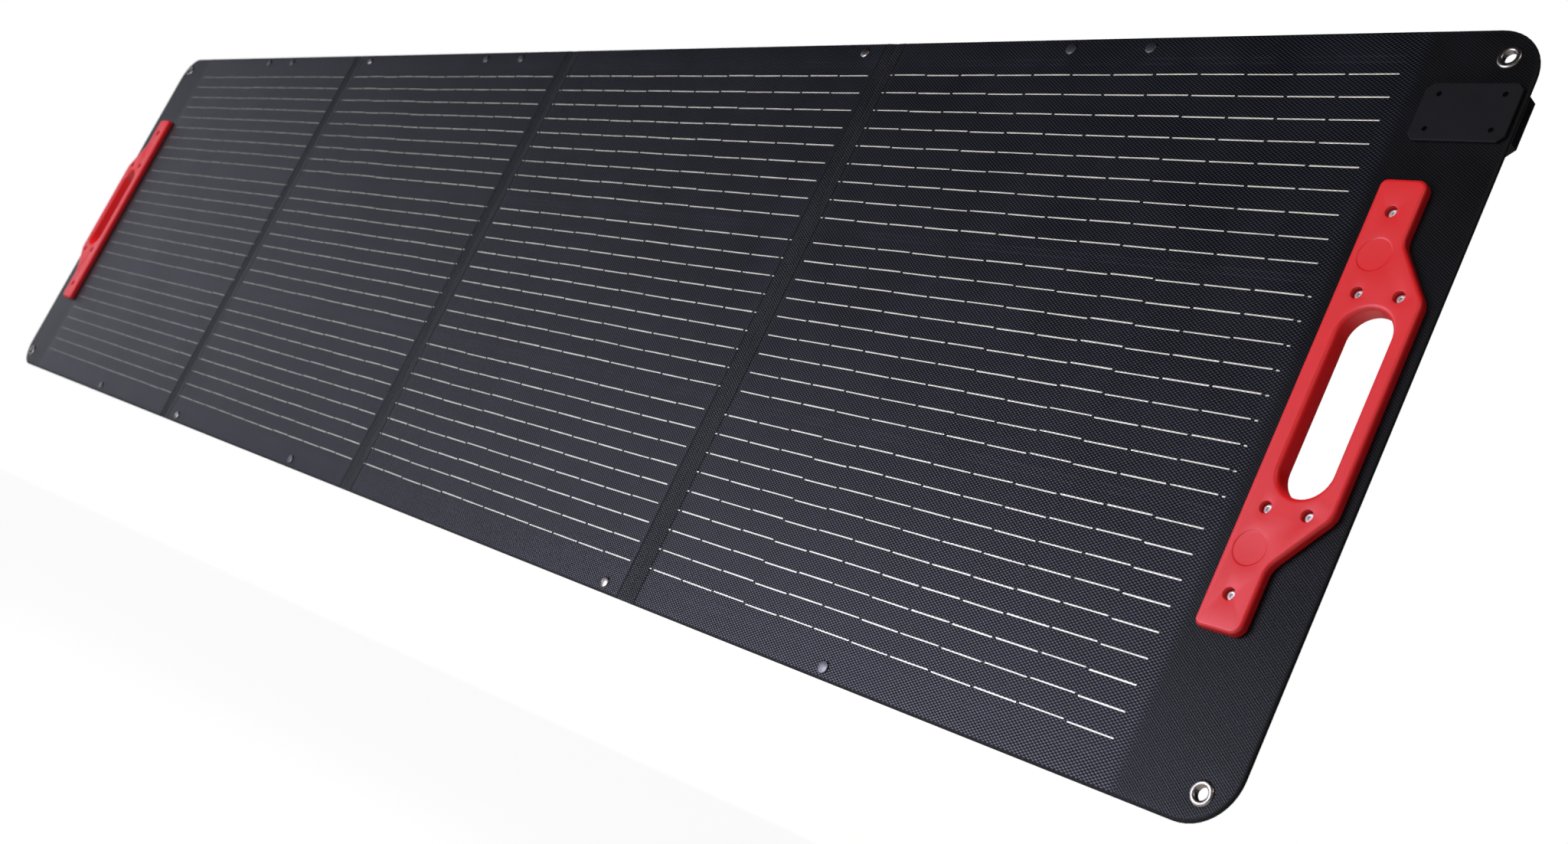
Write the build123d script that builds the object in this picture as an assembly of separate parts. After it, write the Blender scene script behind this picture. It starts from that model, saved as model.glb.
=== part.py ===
from build123d import *
import os

# A folding solar sheet of four laminated panels, carried by end handles and propped by rear kickstands.
# The open sheet stands in the XZ plane: +X along its length, +Z up, its lit face towards -Y.
# The origin is the centre of the open sheet, at mid-thickness. Lengths are in millimetres.

# Cells: square wafers with nine busbars, cut into four strips and joined in series along each row
WAFER = 158.75
CUTS = 4
BUSBARS = 9
STRIPS_PER_ROW = 12
ROWS = 3
STRIP_GAP = 1.5
ROW_GAP = 5.5
CELL_THICKNESS = 0.2
RIBBON_WIDTH = 1.3
RIBBON_THICKNESS = 0.15
LINK_WIDTH = 3.0
LINK_OFFSET = 3.0

# Sheet outline
PANELS = 4
LENGTH = 2260.0
HEIGHT = 535.0
CORNER_RADIUS = 36.0
LAMINATE_EDGE = 5.0
FOLD_STRIP = 23.1
FOLD_CLEARANCE = 0.5

# Layers of the sheet, front to back, and the plain facing that takes the film's place on the end margins
FILM = 0.25
ENCAPSULANT = 0.85
CELL_DEPTH = 0.4
BOARD = 0.8
COVER = 0.6
FACING = 0.9

# Snap caps and posts along the top and bottom edges
CAP_Z = 258.5
CLOSURE_X = 490.0
POST_RADIUS = 1.5
POST_END = 0.5
FIT = 0.1
CAP_RADIUS = 4.9
CAP_HEIGHT = 1.4
CAP_CROWN = 2.4
CAP_SHOULDER = (4.1, 1.05)
CAP_SKIRT = 0.5
STUD_BASE = 4.5
STUD_BASE_HEIGHT = 0.7
STUD_RADIUS = 2.0
STUD_HEIGHT = 3.9
SNAP_SOCKET_BORE = 2.5
SNAP_SOCKET_HEIGHT = 2.3
FLAT_CAP_RADIUS = 5.0
FLAT_CAP_HEIGHT = 1.0
FLAT_CAP_EDGE = 0.4

# Kickstands, by panel: the centre of each one along the sheet
KICKSTANDS = {1: -776.0, 2: -146.0, 4: 775.0}
RIVET_SPACING = 80.0
ANCHOR_WIDTH = 110.0
ANCHOR_THICKNESS = 1.2
ANCHOR_TOP = 264.5
HINGE_Z = 246.0
LEG_STANDOFF = 0.3
LEG_THICKNESS = 2.4
LEG_END_Z = -264.0
LEG_FOOT_WIDTH = 62.0
LEG_FOOT_RADIUS = 20.0
LEG_HINGE_GAP = 1.0
ANCHOR_GAP = 0.5
ANCHOR_CORNER = 6.0
SOCKET_RADIUS = 5.1
SOCKET_BORE = 2.45
SOCKET_SETBACK = 0.6
SOCKET_CAP_RADIUS = 6.2
SOCKET_CAP_HEIGHT = 0.8
SOCKET_CAP_SKIRT = 0.5
STOW_STUD_BASE = 4.4
STOW_STUD_HEIGHT = 2.4
RIVET_WASHER = 4.2
RIVET_WASHER_THICKNESS = 0.8

# Eyelets at the sheet's corners
EYELET_X = 1107.0
EYELET_Z = 247.0
EYELET_HOLE = 4.3
EYELET_BARREL = 5.0
EYELET_FLANGE = 8.2
EYELET_HEIGHT = 1.1
EYELET_MOUTH = (0.6, 0.5)
EYELET_BEVEL = (1.2, 0.8)
EYELET_ROLL = (1.4, 0.4)
EYELET_WASHER = 0.7

# Handles: two halves clamped through the end margins
HANDLE_FRONT = 6.6
HANDLE_REAR = 5.5
HANDLE_RIM = 2.6
HANDLE_SLOT_RIM = 3.6
HANDLE_REAR_RIM = 2.0
HANDLE_REAR_SLOT_RIM = 2.6
HANDLE_INNER_X = 1058.6
HANDLE_NECK_X = 1092.8
HANDLE_GRIP_X = 1121.8
HANDLE_END_Z = 154.5
HANDLE_NECK_Z = 109.6
HANDLE_GRIP_Z = 71.8
HANDLE_END_RADII = (5.0, 8.0)
HANDLE_NECK_RADIUS = 16.0
HANDLE_GRIP_RADIUS = 14.0
SLOT_X = 1091.4
SLOT_WIDTH = 36.8
SLOT_LENGTH = 127.6
COLLAR = 2.5
UPPER_SCREWS = [(1075.0, 131.0), (1075.0, 73.5), (1104.5, 73.5)]
HANDLE_SCREWS = [(x, side * z) for x, z in UPPER_SCREWS for side in (1, -1)]
SCREW_RADIUS = 2.0
SCREW_HEAD = 3.3
SCREW_HEAD_HEIGHT = 1.7
SCREW_RECESS = 4.0
SCREW_RECESS_DEPTH = 5.0
SCREW_KEY_RADIUS = 1.5
SCREW_KEY_DEPTH = 1.1
INSERT_RADIUS = 3.0
INSERT_LENGTH = 4.5
INSERT_CLEARANCE = 0.5
MAGNETS = [(1076.0, 100.5), (1076.0, -100.5)]
MAGNET_RADIUS = 9.8
MAGNET_THICKNESS = 4.0
DISH_RADIUS = 11.75
DISH_DEPTH = 0.45

# Junction box, through the margin above the right handle
BOX_X = 1093.5
BOX_Z = 206.0
BOX_WIDTH = 67.0
BOX_LEAD_SLOT = (34.0, 16.0)
PLATE_HEIGHT = 42.0
PLATE_THICKNESS = 2.4
PLATE_CORNER = 4.5
PLATE_BEVEL = 0.5
HOUSING_HEIGHT = 44.0
HOUSING_DEPTH = 14.0
HOUSING_CORNER = 5.5
HOUSING_BEVEL = 3.0
WALL = 2.0
GASKET = 1.0
GASKET_INSET = 1.0
GASKET_BAND = 4.0
BOX_SCREW_SPAN = (45.4, 25.6)
BOX_SCREW_RADIUS = 1.0
BOX_SCREW_HEAD = 1.7
BOX_SCREW_HEAD_HEIGHT = 1.1
BOX_SCREW_RECESS = 1.9
BOX_SCREW_RECESS_DEPTH = 1.5
BOX_SCREW_REACH = 9.0
BOX_SCREW_CROSS = (2.0, 0.5)
BOSS_RADIUS = 3.0
CIRCUIT_LEVEL = 5.0
CIRCUIT_SIZE = (36.0, 30.0, 1.6)
DIODE_SIZE = (12.0, 9.0, 3.0)
DIODE_OFFSET = (8.0, 4.0)
LEAD_SIZE = (4.0, 0.5)
LEAD_OFFSET = (6.0, -2.0)

# Output socket on the box's inner end, and its hinged lid
SOCKET_Z = BOX_Z
SOCKET_OUT = 7.2
SOCKET_BARREL = 5.5
SOCKET_MOUTH = 3.0
SOCKET_DEPTH = 15.0
SOCKET_HOLE = 4.0
SOCKET_HOLE_DEPTH = 11.0
SOCKET_FLANGE = 6.8
SOCKET_FLANGE_THICKNESS = 1.5
PIN_RADIUS = 1.0
PIN_SETBACK = 2.0
LID_RADIUS = 6.8
LID_THICKNESS = 2.1
LID_PLUG = (3.8, 1.2)
LID_NECK = 6.0
LID_NECK_START = 4.0
LID_AXIS_Z = BOX_Z + 9.5
LID_AXIS_OUT = 4.1
LID_PIN = 0.8
LID_BARREL = 1.7
EAR_OFFSET = 4.2
EAR_THICKNESS = 1.8
EAR_HEIGHT = 3.4
EAR_ROUND = 1.6

# Sizes worked out from those above
STRIP_WIDTH = WAFER / CUTS
STRIP_PITCH = STRIP_WIDTH + STRIP_GAP
ROW_PITCH = WAFER + ROW_GAP
BUSBAR_PITCH = WAFER / BUSBARS
BLOCK_WIDTH = STRIPS_PER_ROW * STRIP_PITCH - STRIP_GAP
LAMINATE_WIDTH = BLOCK_WIDTH + 2 * LAMINATE_EDGE
PANEL_PITCH = LAMINATE_WIDTH + FOLD_STRIP
FRONT = -(FILM + ENCAPSULANT + BOARD + COVER) / 2
Y_ENCAPSULANT = FRONT + FILM
Y_CELL = Y_ENCAPSULANT + CELL_DEPTH
Y_BOARD = Y_ENCAPSULANT + ENCAPSULANT
Y_COVER = Y_BOARD + BOARD
BACK = Y_COVER + COVER
Y_FACING = Y_BOARD - FACING
REACH = 40.0
BOX_SCREWS = [
    (BOX_X + i * BOX_SCREW_SPAN[0] / 2, BOX_Z + k * BOX_SCREW_SPAN[1] / 2) for i in (-1, 1) for k in (-1, 1)
]
HOUSING_FRONT = BACK + GASKET
SOCKET_Y = BACK + SOCKET_OUT
BOX_LEFT = BOX_X - BOX_WIDTH / 2


def slab(outline, front, thickness):
    """A plate from an outline drawn in X and Z, with its front face at the given Y."""
    back_plane = Plane(origin=(0, front + thickness, 0), x_dir=(1, 0, 0), z_dir=(0, -1, 0))
    return extrude(back_plane * outline, thickness)


def plate(x, z, width, height, front, thickness):
    """A rectangular slab about a point of the sheet."""
    return slab(Pos(x, z) * Rectangle(width, height), front, thickness)


def disc(x, z, radius, front, thickness):
    """A round slab about a point of the sheet."""
    return slab(Pos(x, z) * Circle(radius), front, thickness)


def drill(x, z, radius):
    """A cutter right through the sheet."""
    return disc(x, z, radius, -REACH, 2 * REACH)


def turned(points, x, z):
    """A solid of revolution about a line along Y, from (radius, y) corners, set at a point of the sheet."""
    return Pos(x, 0, z) * revolve(make_face(Polyline(*points, close=True)), Axis.Y)


def rod(radius, x_start, x_end, y, z):
    """A cylinder along X."""
    return Plane(origin=(x_start, y, z), z_dir=(1, 0, 0)) * extrude(Circle(radius), x_end - x_start)


def save(name, solids):
    """Write one sub-part, made of one or more separate solids."""
    separate = [solid for shape in solids for solid in shape.solids()]
    export_step(Compound(children=separate), f"parts/{name}.step")


def panel_centre(number):
    return (number - (PANELS + 1) / 2) * PANEL_PITCH


def panel_outline(number, inset):
    """A panel between its fold lines, less an inset at each, with round corners where it ends the sheet."""
    left = panel_centre(number) - PANEL_PITCH / 2 + inset
    right = panel_centre(number) + PANEL_PITCH / 2 - inset
    if number == 1:
        left = -LENGTH / 2
    if number == PANELS:
        right = LENGTH / 2
    outline = Pos((left + right) / 2, 0) * Rectangle(right - left, HEIGHT)
    corners = outline.vertices().sort_by(Axis.X)
    if number == 1:
        outline = fillet(corners[:2], CORNER_RADIUS)
    if number == PANELS:
        outline = fillet(corners[-2:], CORNER_RADIUS)
    return outline


def posts(number):
    """Where snap and rivet posts pass through a panel."""
    points = []
    if number in (2, 3):
        x = -CLOSURE_X if number == 2 else CLOSURE_X
        points += [(x, CAP_Z), (x, -CAP_Z)]
    if number in KICKSTANDS:
        x = KICKSTANDS[number]
        points += [(x - RIVET_SPACING / 2, CAP_Z), (x + RIVET_SPACING / 2, CAP_Z), (x, -CAP_Z)]
    return points


def slot_outline(margin):
    """The hand slot, grown by a margin."""
    return Rot(0, 0, 90) * SlotOverall(SLOT_LENGTH + 2 * margin, SLOT_WIDTH + 2 * margin)


def panel_openings(number):
    """Everything that is cut through a panel's board, cover and facing."""
    cutters = [drill(x, z, POST_RADIUS + FIT) for x, z in posts(number)]
    if number in (1, PANELS):
        side = -1 if number == 1 else 1
        cutters += [drill(side * EYELET_X, z, EYELET_BARREL + FIT) for z in (EYELET_Z, -EYELET_Z)]
        cutters += [drill(side * x, z, SCREW_RADIUS + FIT) for x, z in HANDLE_SCREWS]
        cutters.append(slab(Pos(side * SLOT_X, 0) * slot_outline(COLLAR + 3 * FIT), -REACH, 2 * REACH))
    if number == PANELS:
        cutters += [drill(x, z, BOX_SCREW_RADIUS + FIT) for x, z in BOX_SCREWS]
        cutters.append(plate(BOX_X, BOX_Z, *BOX_LEAD_SLOT, -REACH, 2 * REACH))
    return cutters


def cells(number):
    """The cell strips of a panel."""
    first = panel_centre(number) - (STRIPS_PER_ROW - 1) / 2 * STRIP_PITCH
    return [
        plate(first + i * STRIP_PITCH, row * ROW_PITCH, STRIP_WIDTH, WAFER, Y_CELL, CELL_THICKNESS)
        for row in (1, 0, -1)
        for i in range(STRIPS_PER_ROW)
    ]


def ribbons(number):
    """Busbar ribbons along each row, and the cross links that join the rows into one string."""
    centre = panel_centre(number)
    link_x = BLOCK_WIDTH / 2 + LINK_OFFSET
    made = []
    for row, side in ((1, -1), (0, 1), (-1, -1)):
        for k in range(BUSBARS):
            z = row * ROW_PITCH + (k - (BUSBARS - 1) / 2) * BUSBAR_PITCH
            x = centre + side * LINK_OFFSET / 2
            length = BLOCK_WIDTH + LINK_OFFSET
            made.append(plate(x, z, length, RIBBON_WIDTH, Y_CELL - RIBBON_THICKNESS, RIBBON_THICKNESS))
    links = ((-1, ROW_PITCH, WAFER), (1, ROW_PITCH / 2, WAFER + ROW_PITCH))
    for side, z, length in links + tuple((-s, -z, n) for s, z, n in links):
        made.append(plate(centre + side * link_x, z, LINK_WIDTH, length, Y_CELL, CELL_THICKNESS))
    return made


def encapsulant(number, embedded):
    """The clear bond around the cells, notched at its edges where posts pass."""
    bond = plate(panel_centre(number), 0, LAMINATE_WIDTH, HEIGHT, Y_ENCAPSULANT, ENCAPSULANT)
    notch_depth = HEIGHT / 2 - CAP_Z + POST_RADIUS + FIT
    for x, z in posts(number):
        edge = HEIGHT / 2 if z > 0 else -HEIGHT / 2
        bond -= plate(x, edge, 2 * (POST_RADIUS + FIT), 2 * notch_depth, -REACH, 2 * REACH)
    return bond - embedded


def save_panel(number):
    """All the layers of one panel."""
    openings = panel_openings(number)
    name = f"panel_{number}"
    centre = panel_centre(number)
    film = plate(centre, 0, LAMINATE_WIDTH, HEIGHT, FRONT, FILM)
    save(f"{name}_film", [film - openings])
    strips = cells(number)
    bars = ribbons(number)
    save(f"{name}_cells", strips)
    save(f"{name}_ribbons", bars)
    save(f"{name}_encapsulant", [encapsulant(number, strips + bars)])
    save(f"{name}_board", [slab(panel_outline(number, FOLD_STRIP / 2), Y_BOARD, BOARD) - openings])
    save(f"{name}_rear_cover", [slab(panel_outline(number, FOLD_CLEARANCE), Y_COVER, COVER) - openings])
    if number in (1, PANELS):
        laminate = plate(centre, 0, LAMINATE_WIDTH, 2 * HEIGHT, -REACH, 2 * REACH)
        facing = slab(panel_outline(number, FOLD_STRIP / 2), Y_FACING, FACING)
        save(f"{name}_end_facing", [facing - laminate - openings])


def handle_outline():
    """The right handle: a straight inner side, and an outer side that steps out around the hand slot."""
    corners = [
        (HANDLE_INNER_X, HANDLE_END_Z, HANDLE_END_RADII[0]),
        (HANDLE_NECK_X, HANDLE_END_Z, HANDLE_END_RADII[1]),
        (HANDLE_NECK_X, HANDLE_NECK_Z, HANDLE_NECK_RADIUS),
        (HANDLE_GRIP_X, HANDLE_GRIP_Z, HANDLE_GRIP_RADIUS),
    ]
    upper = [(x, z) for x, z, radius in corners]
    lower = [(x, -z) for x, z in reversed(upper)]
    outline = make_face(Polyline(*upper, *lower, close=True))
    for x, z, radius in corners:
        for side in (1, -1):
            outline = fillet(outline.vertices().sort_by_distance((x, side * z, 0))[0], radius)
    return outline - Pos(SLOT_X, 0) * slot_outline(0)


def round_rims(half, face_end, rim, slot_rim):
    """Round the outer rim and the slot's rim on one face of a handle half."""
    face = half.faces().sort_by(Axis.Y)[face_end]
    half = fillet(face.outer_wire().edges(), rim)
    face = half.faces().filter_by(Axis.Y).sort_by(Axis.Y)[face_end]
    return fillet(face.inner_wires()[0].edges(), slot_rim)


def handle_front():
    """The front half: recessed for screw heads, dished over each magnet, with a collar through the sheet."""
    top = Y_FACING - HANDLE_FRONT
    half = round_rims(slab(handle_outline(), top, HANDLE_FRONT), 0, HANDLE_RIM, HANDLE_SLOT_RIM)
    collar = slab(Pos(SLOT_X, 0) * (slot_outline(COLLAR) - slot_outline(0)), Y_FACING, BACK - Y_FACING)
    half += collar
    for x, z in HANDLE_SCREWS:
        half -= drill(x, z, SCREW_RADIUS + FIT)
        half -= disc(x, z, SCREW_RECESS, top, SCREW_RECESS_DEPTH)
    for x, z in MAGNETS:
        half -= disc(x, z, DISH_RADIUS, top, DISH_DEPTH)
        half -= disc(x, z, MAGNET_RADIUS + FIT, Y_FACING - MAGNET_THICKNESS - FIT, MAGNET_THICKNESS + FIT)
    return half


def handle_rear():
    """The rear half, with blind pockets for the threaded inserts."""
    half = round_rims(slab(handle_outline(), BACK, HANDLE_REAR), -1, HANDLE_REAR_RIM, HANDLE_REAR_SLOT_RIM)
    for x, z in HANDLE_SCREWS:
        half -= disc(x, z, INSERT_RADIUS + FIT / 2, BACK, INSERT_LENGTH)
    return half


def handle_screw(x, z):
    """A socket-head screw, sunk below the handle's face."""
    seat = Y_FACING - HANDLE_FRONT + SCREW_RECESS_DEPTH
    end = BACK + INSERT_LENGTH - INSERT_CLEARANCE
    head = seat - SCREW_HEAD_HEIGHT
    corners = [
        (0, head),
        (SCREW_HEAD, head),
        (SCREW_HEAD, seat),
        (SCREW_RADIUS, seat),
        (SCREW_RADIUS, end),
        (0, end),
    ]
    key = disc(x, z, SCREW_KEY_RADIUS, head, SCREW_KEY_DEPTH)
    return turned(corners, x, z) - key


def handle_insert(x, z):
    """A brass threaded tube in the rear half."""
    tube = disc(x, z, INSERT_RADIUS, BACK, INSERT_LENGTH)
    return tube - drill(x, z, SCREW_RADIUS + FIT / 2)


def handle_magnet(x, z):
    """A disc magnet in the back of the front half, under one of its dishes."""
    return disc(x, z, MAGNET_RADIUS, Y_FACING - MAGNET_THICKNESS, MAGNET_THICKNESS)


def eyelet(z):
    """A flanged eyelet, its barrel set over on the rear washer."""
    front = Y_FACING - EYELET_HEIGHT
    rear = BACK + EYELET_WASHER
    corners = [
        (EYELET_HOLE, front + EYELET_MOUTH[1]),
        (EYELET_HOLE + EYELET_MOUTH[0], front),
        (EYELET_FLANGE - EYELET_BEVEL[0], front),
        (EYELET_FLANGE, front + EYELET_BEVEL[1]),
        (EYELET_FLANGE, Y_FACING),
        (EYELET_BARREL, Y_FACING),
        (EYELET_BARREL, rear),
        (EYELET_BARREL + EYELET_ROLL[0], rear),
        (EYELET_BARREL + EYELET_ROLL[0], rear + EYELET_ROLL[1]),
        (EYELET_HOLE, rear + EYELET_ROLL[1]),
    ]
    return turned(corners, EYELET_X, z)


def eyelet_washer(z):
    """The washer behind an eyelet."""
    return disc(EYELET_X, z, EYELET_FLANGE, BACK, EYELET_WASHER) - drill(EYELET_X, z, EYELET_BARREL + FIT)


def save_end_fittings(side, end_name):
    """The handle and eyelets of one end: drawn for the right end, mirrored for the left."""
    groups = {
        "handle_front": [handle_front()],
        "handle_rear": [handle_rear()],
        "handle_screws": [handle_screw(x, z) for x, z in HANDLE_SCREWS],
        "handle_inserts": [handle_insert(x, z) for x, z in HANDLE_SCREWS],
        "magnets": [handle_magnet(x, z) for x, z in MAGNETS],
        "eyelets": [make(z) for make in (eyelet, eyelet_washer) for z in (EYELET_Z, -EYELET_Z)],
    }
    for name, solids in groups.items():
        if side < 0:
            solids = [mirror(solid, about=Plane.YZ) for solid in solids]
        save(f"{end_name}_{name}", solids)


def closure_cap(x, z):
    """The domed front cap of a closure snap, with its post."""
    post_end = BACK + POST_END
    corners = [
        (0, FRONT - CAP_HEIGHT),
        (CAP_CROWN, FRONT - CAP_HEIGHT),
        (CAP_SHOULDER[0], FRONT - CAP_SHOULDER[1]),
        (CAP_RADIUS, FRONT - CAP_SKIRT),
        (CAP_RADIUS, FRONT),
        (POST_RADIUS, FRONT),
        (POST_RADIUS, post_end),
        (0, post_end),
    ]
    return turned(corners, x, z)


def closure_stud(x, z):
    """The rear stud of a closure snap, riveted to its post."""
    bore = POST_RADIUS + FIT
    floor = BACK + POST_END + FIT
    base = BACK + STUD_BASE_HEIGHT
    corners = [
        (bore, BACK),
        (STUD_BASE, BACK),
        (STUD_BASE, base),
        (STUD_RADIUS, base + 3 * FIT),
        (STUD_RADIUS, BACK + STUD_HEIGHT),
        (0, BACK + STUD_HEIGHT),
        (0, floor),
        (bore, floor),
    ]
    return turned(corners, x, z)


def closure_socket(x, z):
    """The rear socket of a closure snap, open to take the stud of the panel folded against it."""
    bore = POST_RADIUS + FIT
    floor = BACK + POST_END + FIT
    rim = BACK + SNAP_SOCKET_HEIGHT
    corners = [
        (bore, BACK),
        (CAP_RADIUS, BACK),
        (CAP_RADIUS, rim),
        (SNAP_SOCKET_BORE, rim),
        (SNAP_SOCKET_BORE, floor),
        (bore, floor),
    ]
    return turned(corners, x, z)


def flat_cap(x, z, post_end):
    """The flat front cap of a kickstand rivet, with its post."""
    top = FRONT - FLAT_CAP_HEIGHT
    corners = [
        (0, top),
        (FLAT_CAP_RADIUS - FLAT_CAP_EDGE, top),
        (FLAT_CAP_RADIUS, top + FLAT_CAP_EDGE),
        (FLAT_CAP_RADIUS, FRONT),
        (POST_RADIUS, FRONT),
        (POST_RADIUS, post_end),
        (0, post_end),
    ]
    return turned(corners, x, z)


def stow_stud(x):
    """The rear stud that holds a stowed kickstand."""
    bore = POST_RADIUS + FIT
    floor = BACK + POST_END + FIT
    end = BACK + STOW_STUD_HEIGHT
    corners = [
        (bore, BACK),
        (STOW_STUD_BASE, BACK),
        (STOW_STUD_BASE, floor),
        (STUD_RADIUS, floor + FIT),
        (STUD_RADIUS, end),
        (0, end),
        (0, floor),
        (bore, floor),
    ]
    return turned(corners, x, -CAP_Z)


def stow_socket(x):
    """The capped socket in a kickstand's foot."""
    front = BACK + LEG_STANDOFF + SOCKET_SETBACK
    rear = BACK + LEG_STANDOFF + LEG_THICKNESS
    ceiling = rear - FIT
    corners = [
        (SOCKET_BORE, front),
        (SOCKET_RADIUS, front),
        (SOCKET_RADIUS, rear),
        (SOCKET_CAP_RADIUS, rear),
        (SOCKET_CAP_RADIUS, rear + SOCKET_CAP_SKIRT),
        (SOCKET_CAP_RADIUS - SOCKET_CAP_HEIGHT, rear + SOCKET_CAP_HEIGHT),
        (0, rear + SOCKET_CAP_HEIGHT),
        (0, ceiling),
        (SOCKET_BORE, ceiling),
    ]
    return turned(corners, x, -CAP_Z)


def rivet_washer(x):
    """The rear washer of a rivet that holds a kickstand's anchor."""
    rear = BACK + ANCHOR_THICKNESS
    return disc(x, CAP_Z, RIVET_WASHER, rear, RIVET_WASHER_THICKNESS) - drill(x, CAP_Z, POST_RADIUS + FIT)


def kickstand_leg(x):
    """A stiff leg, wide at its hinge and narrow at its foot."""
    top = HINGE_Z - LEG_HINGE_GAP
    outline = make_face(
        Polyline(
            (-ANCHOR_WIDTH / 2, top),
            (ANCHOR_WIDTH / 2, top),
            (LEG_FOOT_WIDTH / 2, LEG_END_Z),
            (-LEG_FOOT_WIDTH / 2, LEG_END_Z),
            close=True,
        )
    )
    outline = fillet(outline.vertices().sort_by(Axis.Y)[:2], LEG_FOOT_RADIUS)
    leg = slab(Pos(x, 0) * outline, BACK + LEG_STANDOFF, LEG_THICKNESS)
    return leg - drill(x, -CAP_Z, SOCKET_RADIUS + FIT)


def kickstand_anchor(x):
    """The strip riveted along the sheet's top edge, which the leg hinges from."""
    bottom = HINGE_Z + ANCHOR_GAP
    outline = Pos(x, (ANCHOR_TOP + bottom) / 2) * Rectangle(ANCHOR_WIDTH, ANCHOR_TOP - bottom)
    outline = fillet(outline.vertices().sort_by(Axis.Y)[-2:], ANCHOR_CORNER)
    strip = slab(outline, BACK, ANCHOR_THICKNESS)
    return strip - [drill(x + side * RIVET_SPACING / 2, CAP_Z, POST_RADIUS + FIT) for side in (1, -1)]


def save_kickstand(number, x):
    """One kickstand, with the rivets and stud that hold it to its panel."""
    name = f"kickstand_{number}"
    rivets = [x - RIVET_SPACING / 2, x + RIVET_SPACING / 2]
    rivet_end = BACK + ANCHOR_THICKNESS + RIVET_WASHER_THICKNESS - FIT
    fasteners = [flat_cap(rivet, CAP_Z, rivet_end) for rivet in rivets]
    fasteners += [rivet_washer(rivet) for rivet in rivets]
    fasteners += [flat_cap(x, -CAP_Z, BACK + POST_END), stow_stud(x)]
    save(f"{name}_anchor", [kickstand_anchor(x)])
    save(f"{name}_fasteners", fasteners)
    save(f"{name}_leg", [kickstand_leg(x)])
    save(f"{name}_stow_socket", [stow_socket(x)])


def box_plate():
    """The front plate of the junction box, with clipped corners and sunk screws."""
    outline = Pos(BOX_X, BOX_Z) * Rectangle(BOX_WIDTH, PLATE_HEIGHT)
    outline = chamfer(outline.vertices(), PLATE_CORNER)
    front = Y_FACING - PLATE_THICKNESS
    made = slab(outline, front, PLATE_THICKNESS)
    made = chamfer(made.faces().sort_by(Axis.Y)[0].edges(), PLATE_BEVEL)
    for x, z in BOX_SCREWS:
        made -= drill(x, z, BOX_SCREW_RADIUS + FIT)
        made -= disc(x, z, BOX_SCREW_RECESS, front, BOX_SCREW_RECESS_DEPTH)
    return made


def box_screw(x, z):
    """A sunk screw from the plate into a boss of the housing."""
    seat = Y_FACING - PLATE_THICKNESS + BOX_SCREW_RECESS_DEPTH
    head = seat - BOX_SCREW_HEAD_HEIGHT
    end = BACK + BOX_SCREW_REACH
    corners = [
        (0, head),
        (BOX_SCREW_HEAD, head),
        (BOX_SCREW_HEAD, seat),
        (BOX_SCREW_RADIUS, seat),
        (BOX_SCREW_RADIUS, end),
        (0, end),
    ]
    long, short = BOX_SCREW_CROSS
    cross = plate(x, z, long, short, head, short) + plate(x, z, short, long, head, short)
    return turned(corners, x, z) - cross


def inset_box(inset, front, thickness):
    """A slab the shape of the housing, with clipped corners, smaller by an inset all round."""
    outline = Pos(BOX_X, BOX_Z) * Rectangle(BOX_WIDTH - 2 * inset, HOUSING_HEIGHT - 2 * inset)
    corner = HOUSING_CORNER - (2 - 2**0.5) * inset
    return slab(chamfer(outline.vertices(), corner), front, thickness)


def box_gasket():
    """A foam frame between the housing and the sheet."""
    return inset_box(GASKET_INSET, BACK, GASKET) - inset_box(GASKET_INSET + GASKET_BAND, BACK, GASKET)


def box_housing():
    """The rear housing, open towards the sheet, with screw bosses, a socket hole and the lid's hinge."""
    shell = inset_box(0, HOUSING_FRONT, HOUSING_DEPTH)
    shell = chamfer(shell.faces().sort_by(Axis.Y)[-1].edges(), HOUSING_BEVEL)
    inside = HOUSING_DEPTH - WALL
    shell -= inset_box(WALL, HOUSING_FRONT, inside - WALL)
    shell -= inset_box(2 * WALL, HOUSING_FRONT, inside)
    for x, z in BOX_SCREWS:
        shell += disc(x, z, BOSS_RADIUS, HOUSING_FRONT, inside)
        shell -= disc(x, z, BOX_SCREW_RADIUS + FIT, HOUSING_FRONT, inside - WALL)
    shell -= rod(SOCKET_BARREL + FIT, BOX_LEFT - WALL, BOX_LEFT + 3 * WALL, SOCKET_Y, SOCKET_Z)
    ear_end = BOX_LEFT - LID_AXIS_OUT - LID_BARREL
    for side in (1, -1):
        y = SOCKET_Y + side * EAR_OFFSET
        ear = Box(BOX_LEFT - ear_end, EAR_THICKNESS, EAR_HEIGHT)
        ear = Pos((ear_end + BOX_LEFT) / 2, y, LID_AXIS_Z) * ear
        shell += fillet(ear.edges().filter_by(Axis.Y).sort_by(Axis.X)[:2], EAR_ROUND)
    return shell + disc(BOX_LEFT - LID_AXIS_OUT, LID_AXIS_Z, LID_PIN, SOCKET_Y - EAR_OFFSET, 2 * EAR_OFFSET)


def box_circuit():
    """The circuit board, its bypass diodes and the leads that come through the sheet."""
    level = BACK + CIRCUIT_LEVEL
    width, height, thickness = CIRCUIT_SIZE
    made = [plate(BOX_X, BOX_Z, width, height, level, thickness)]
    for side in (1, -1):
        diode_x = BOX_X + side * DIODE_OFFSET[0]
        lead_x = BOX_X + side * LEAD_OFFSET[0]
        top = level + thickness
        made.append(plate(diode_x, BOX_Z + DIODE_OFFSET[1], *DIODE_SIZE[:2], top, DIODE_SIZE[2]))
        made.append(plate(lead_x, BOX_Z + LEAD_OFFSET[1], *LEAD_SIZE, Y_BOARD, level - Y_BOARD))
    return made


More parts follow.
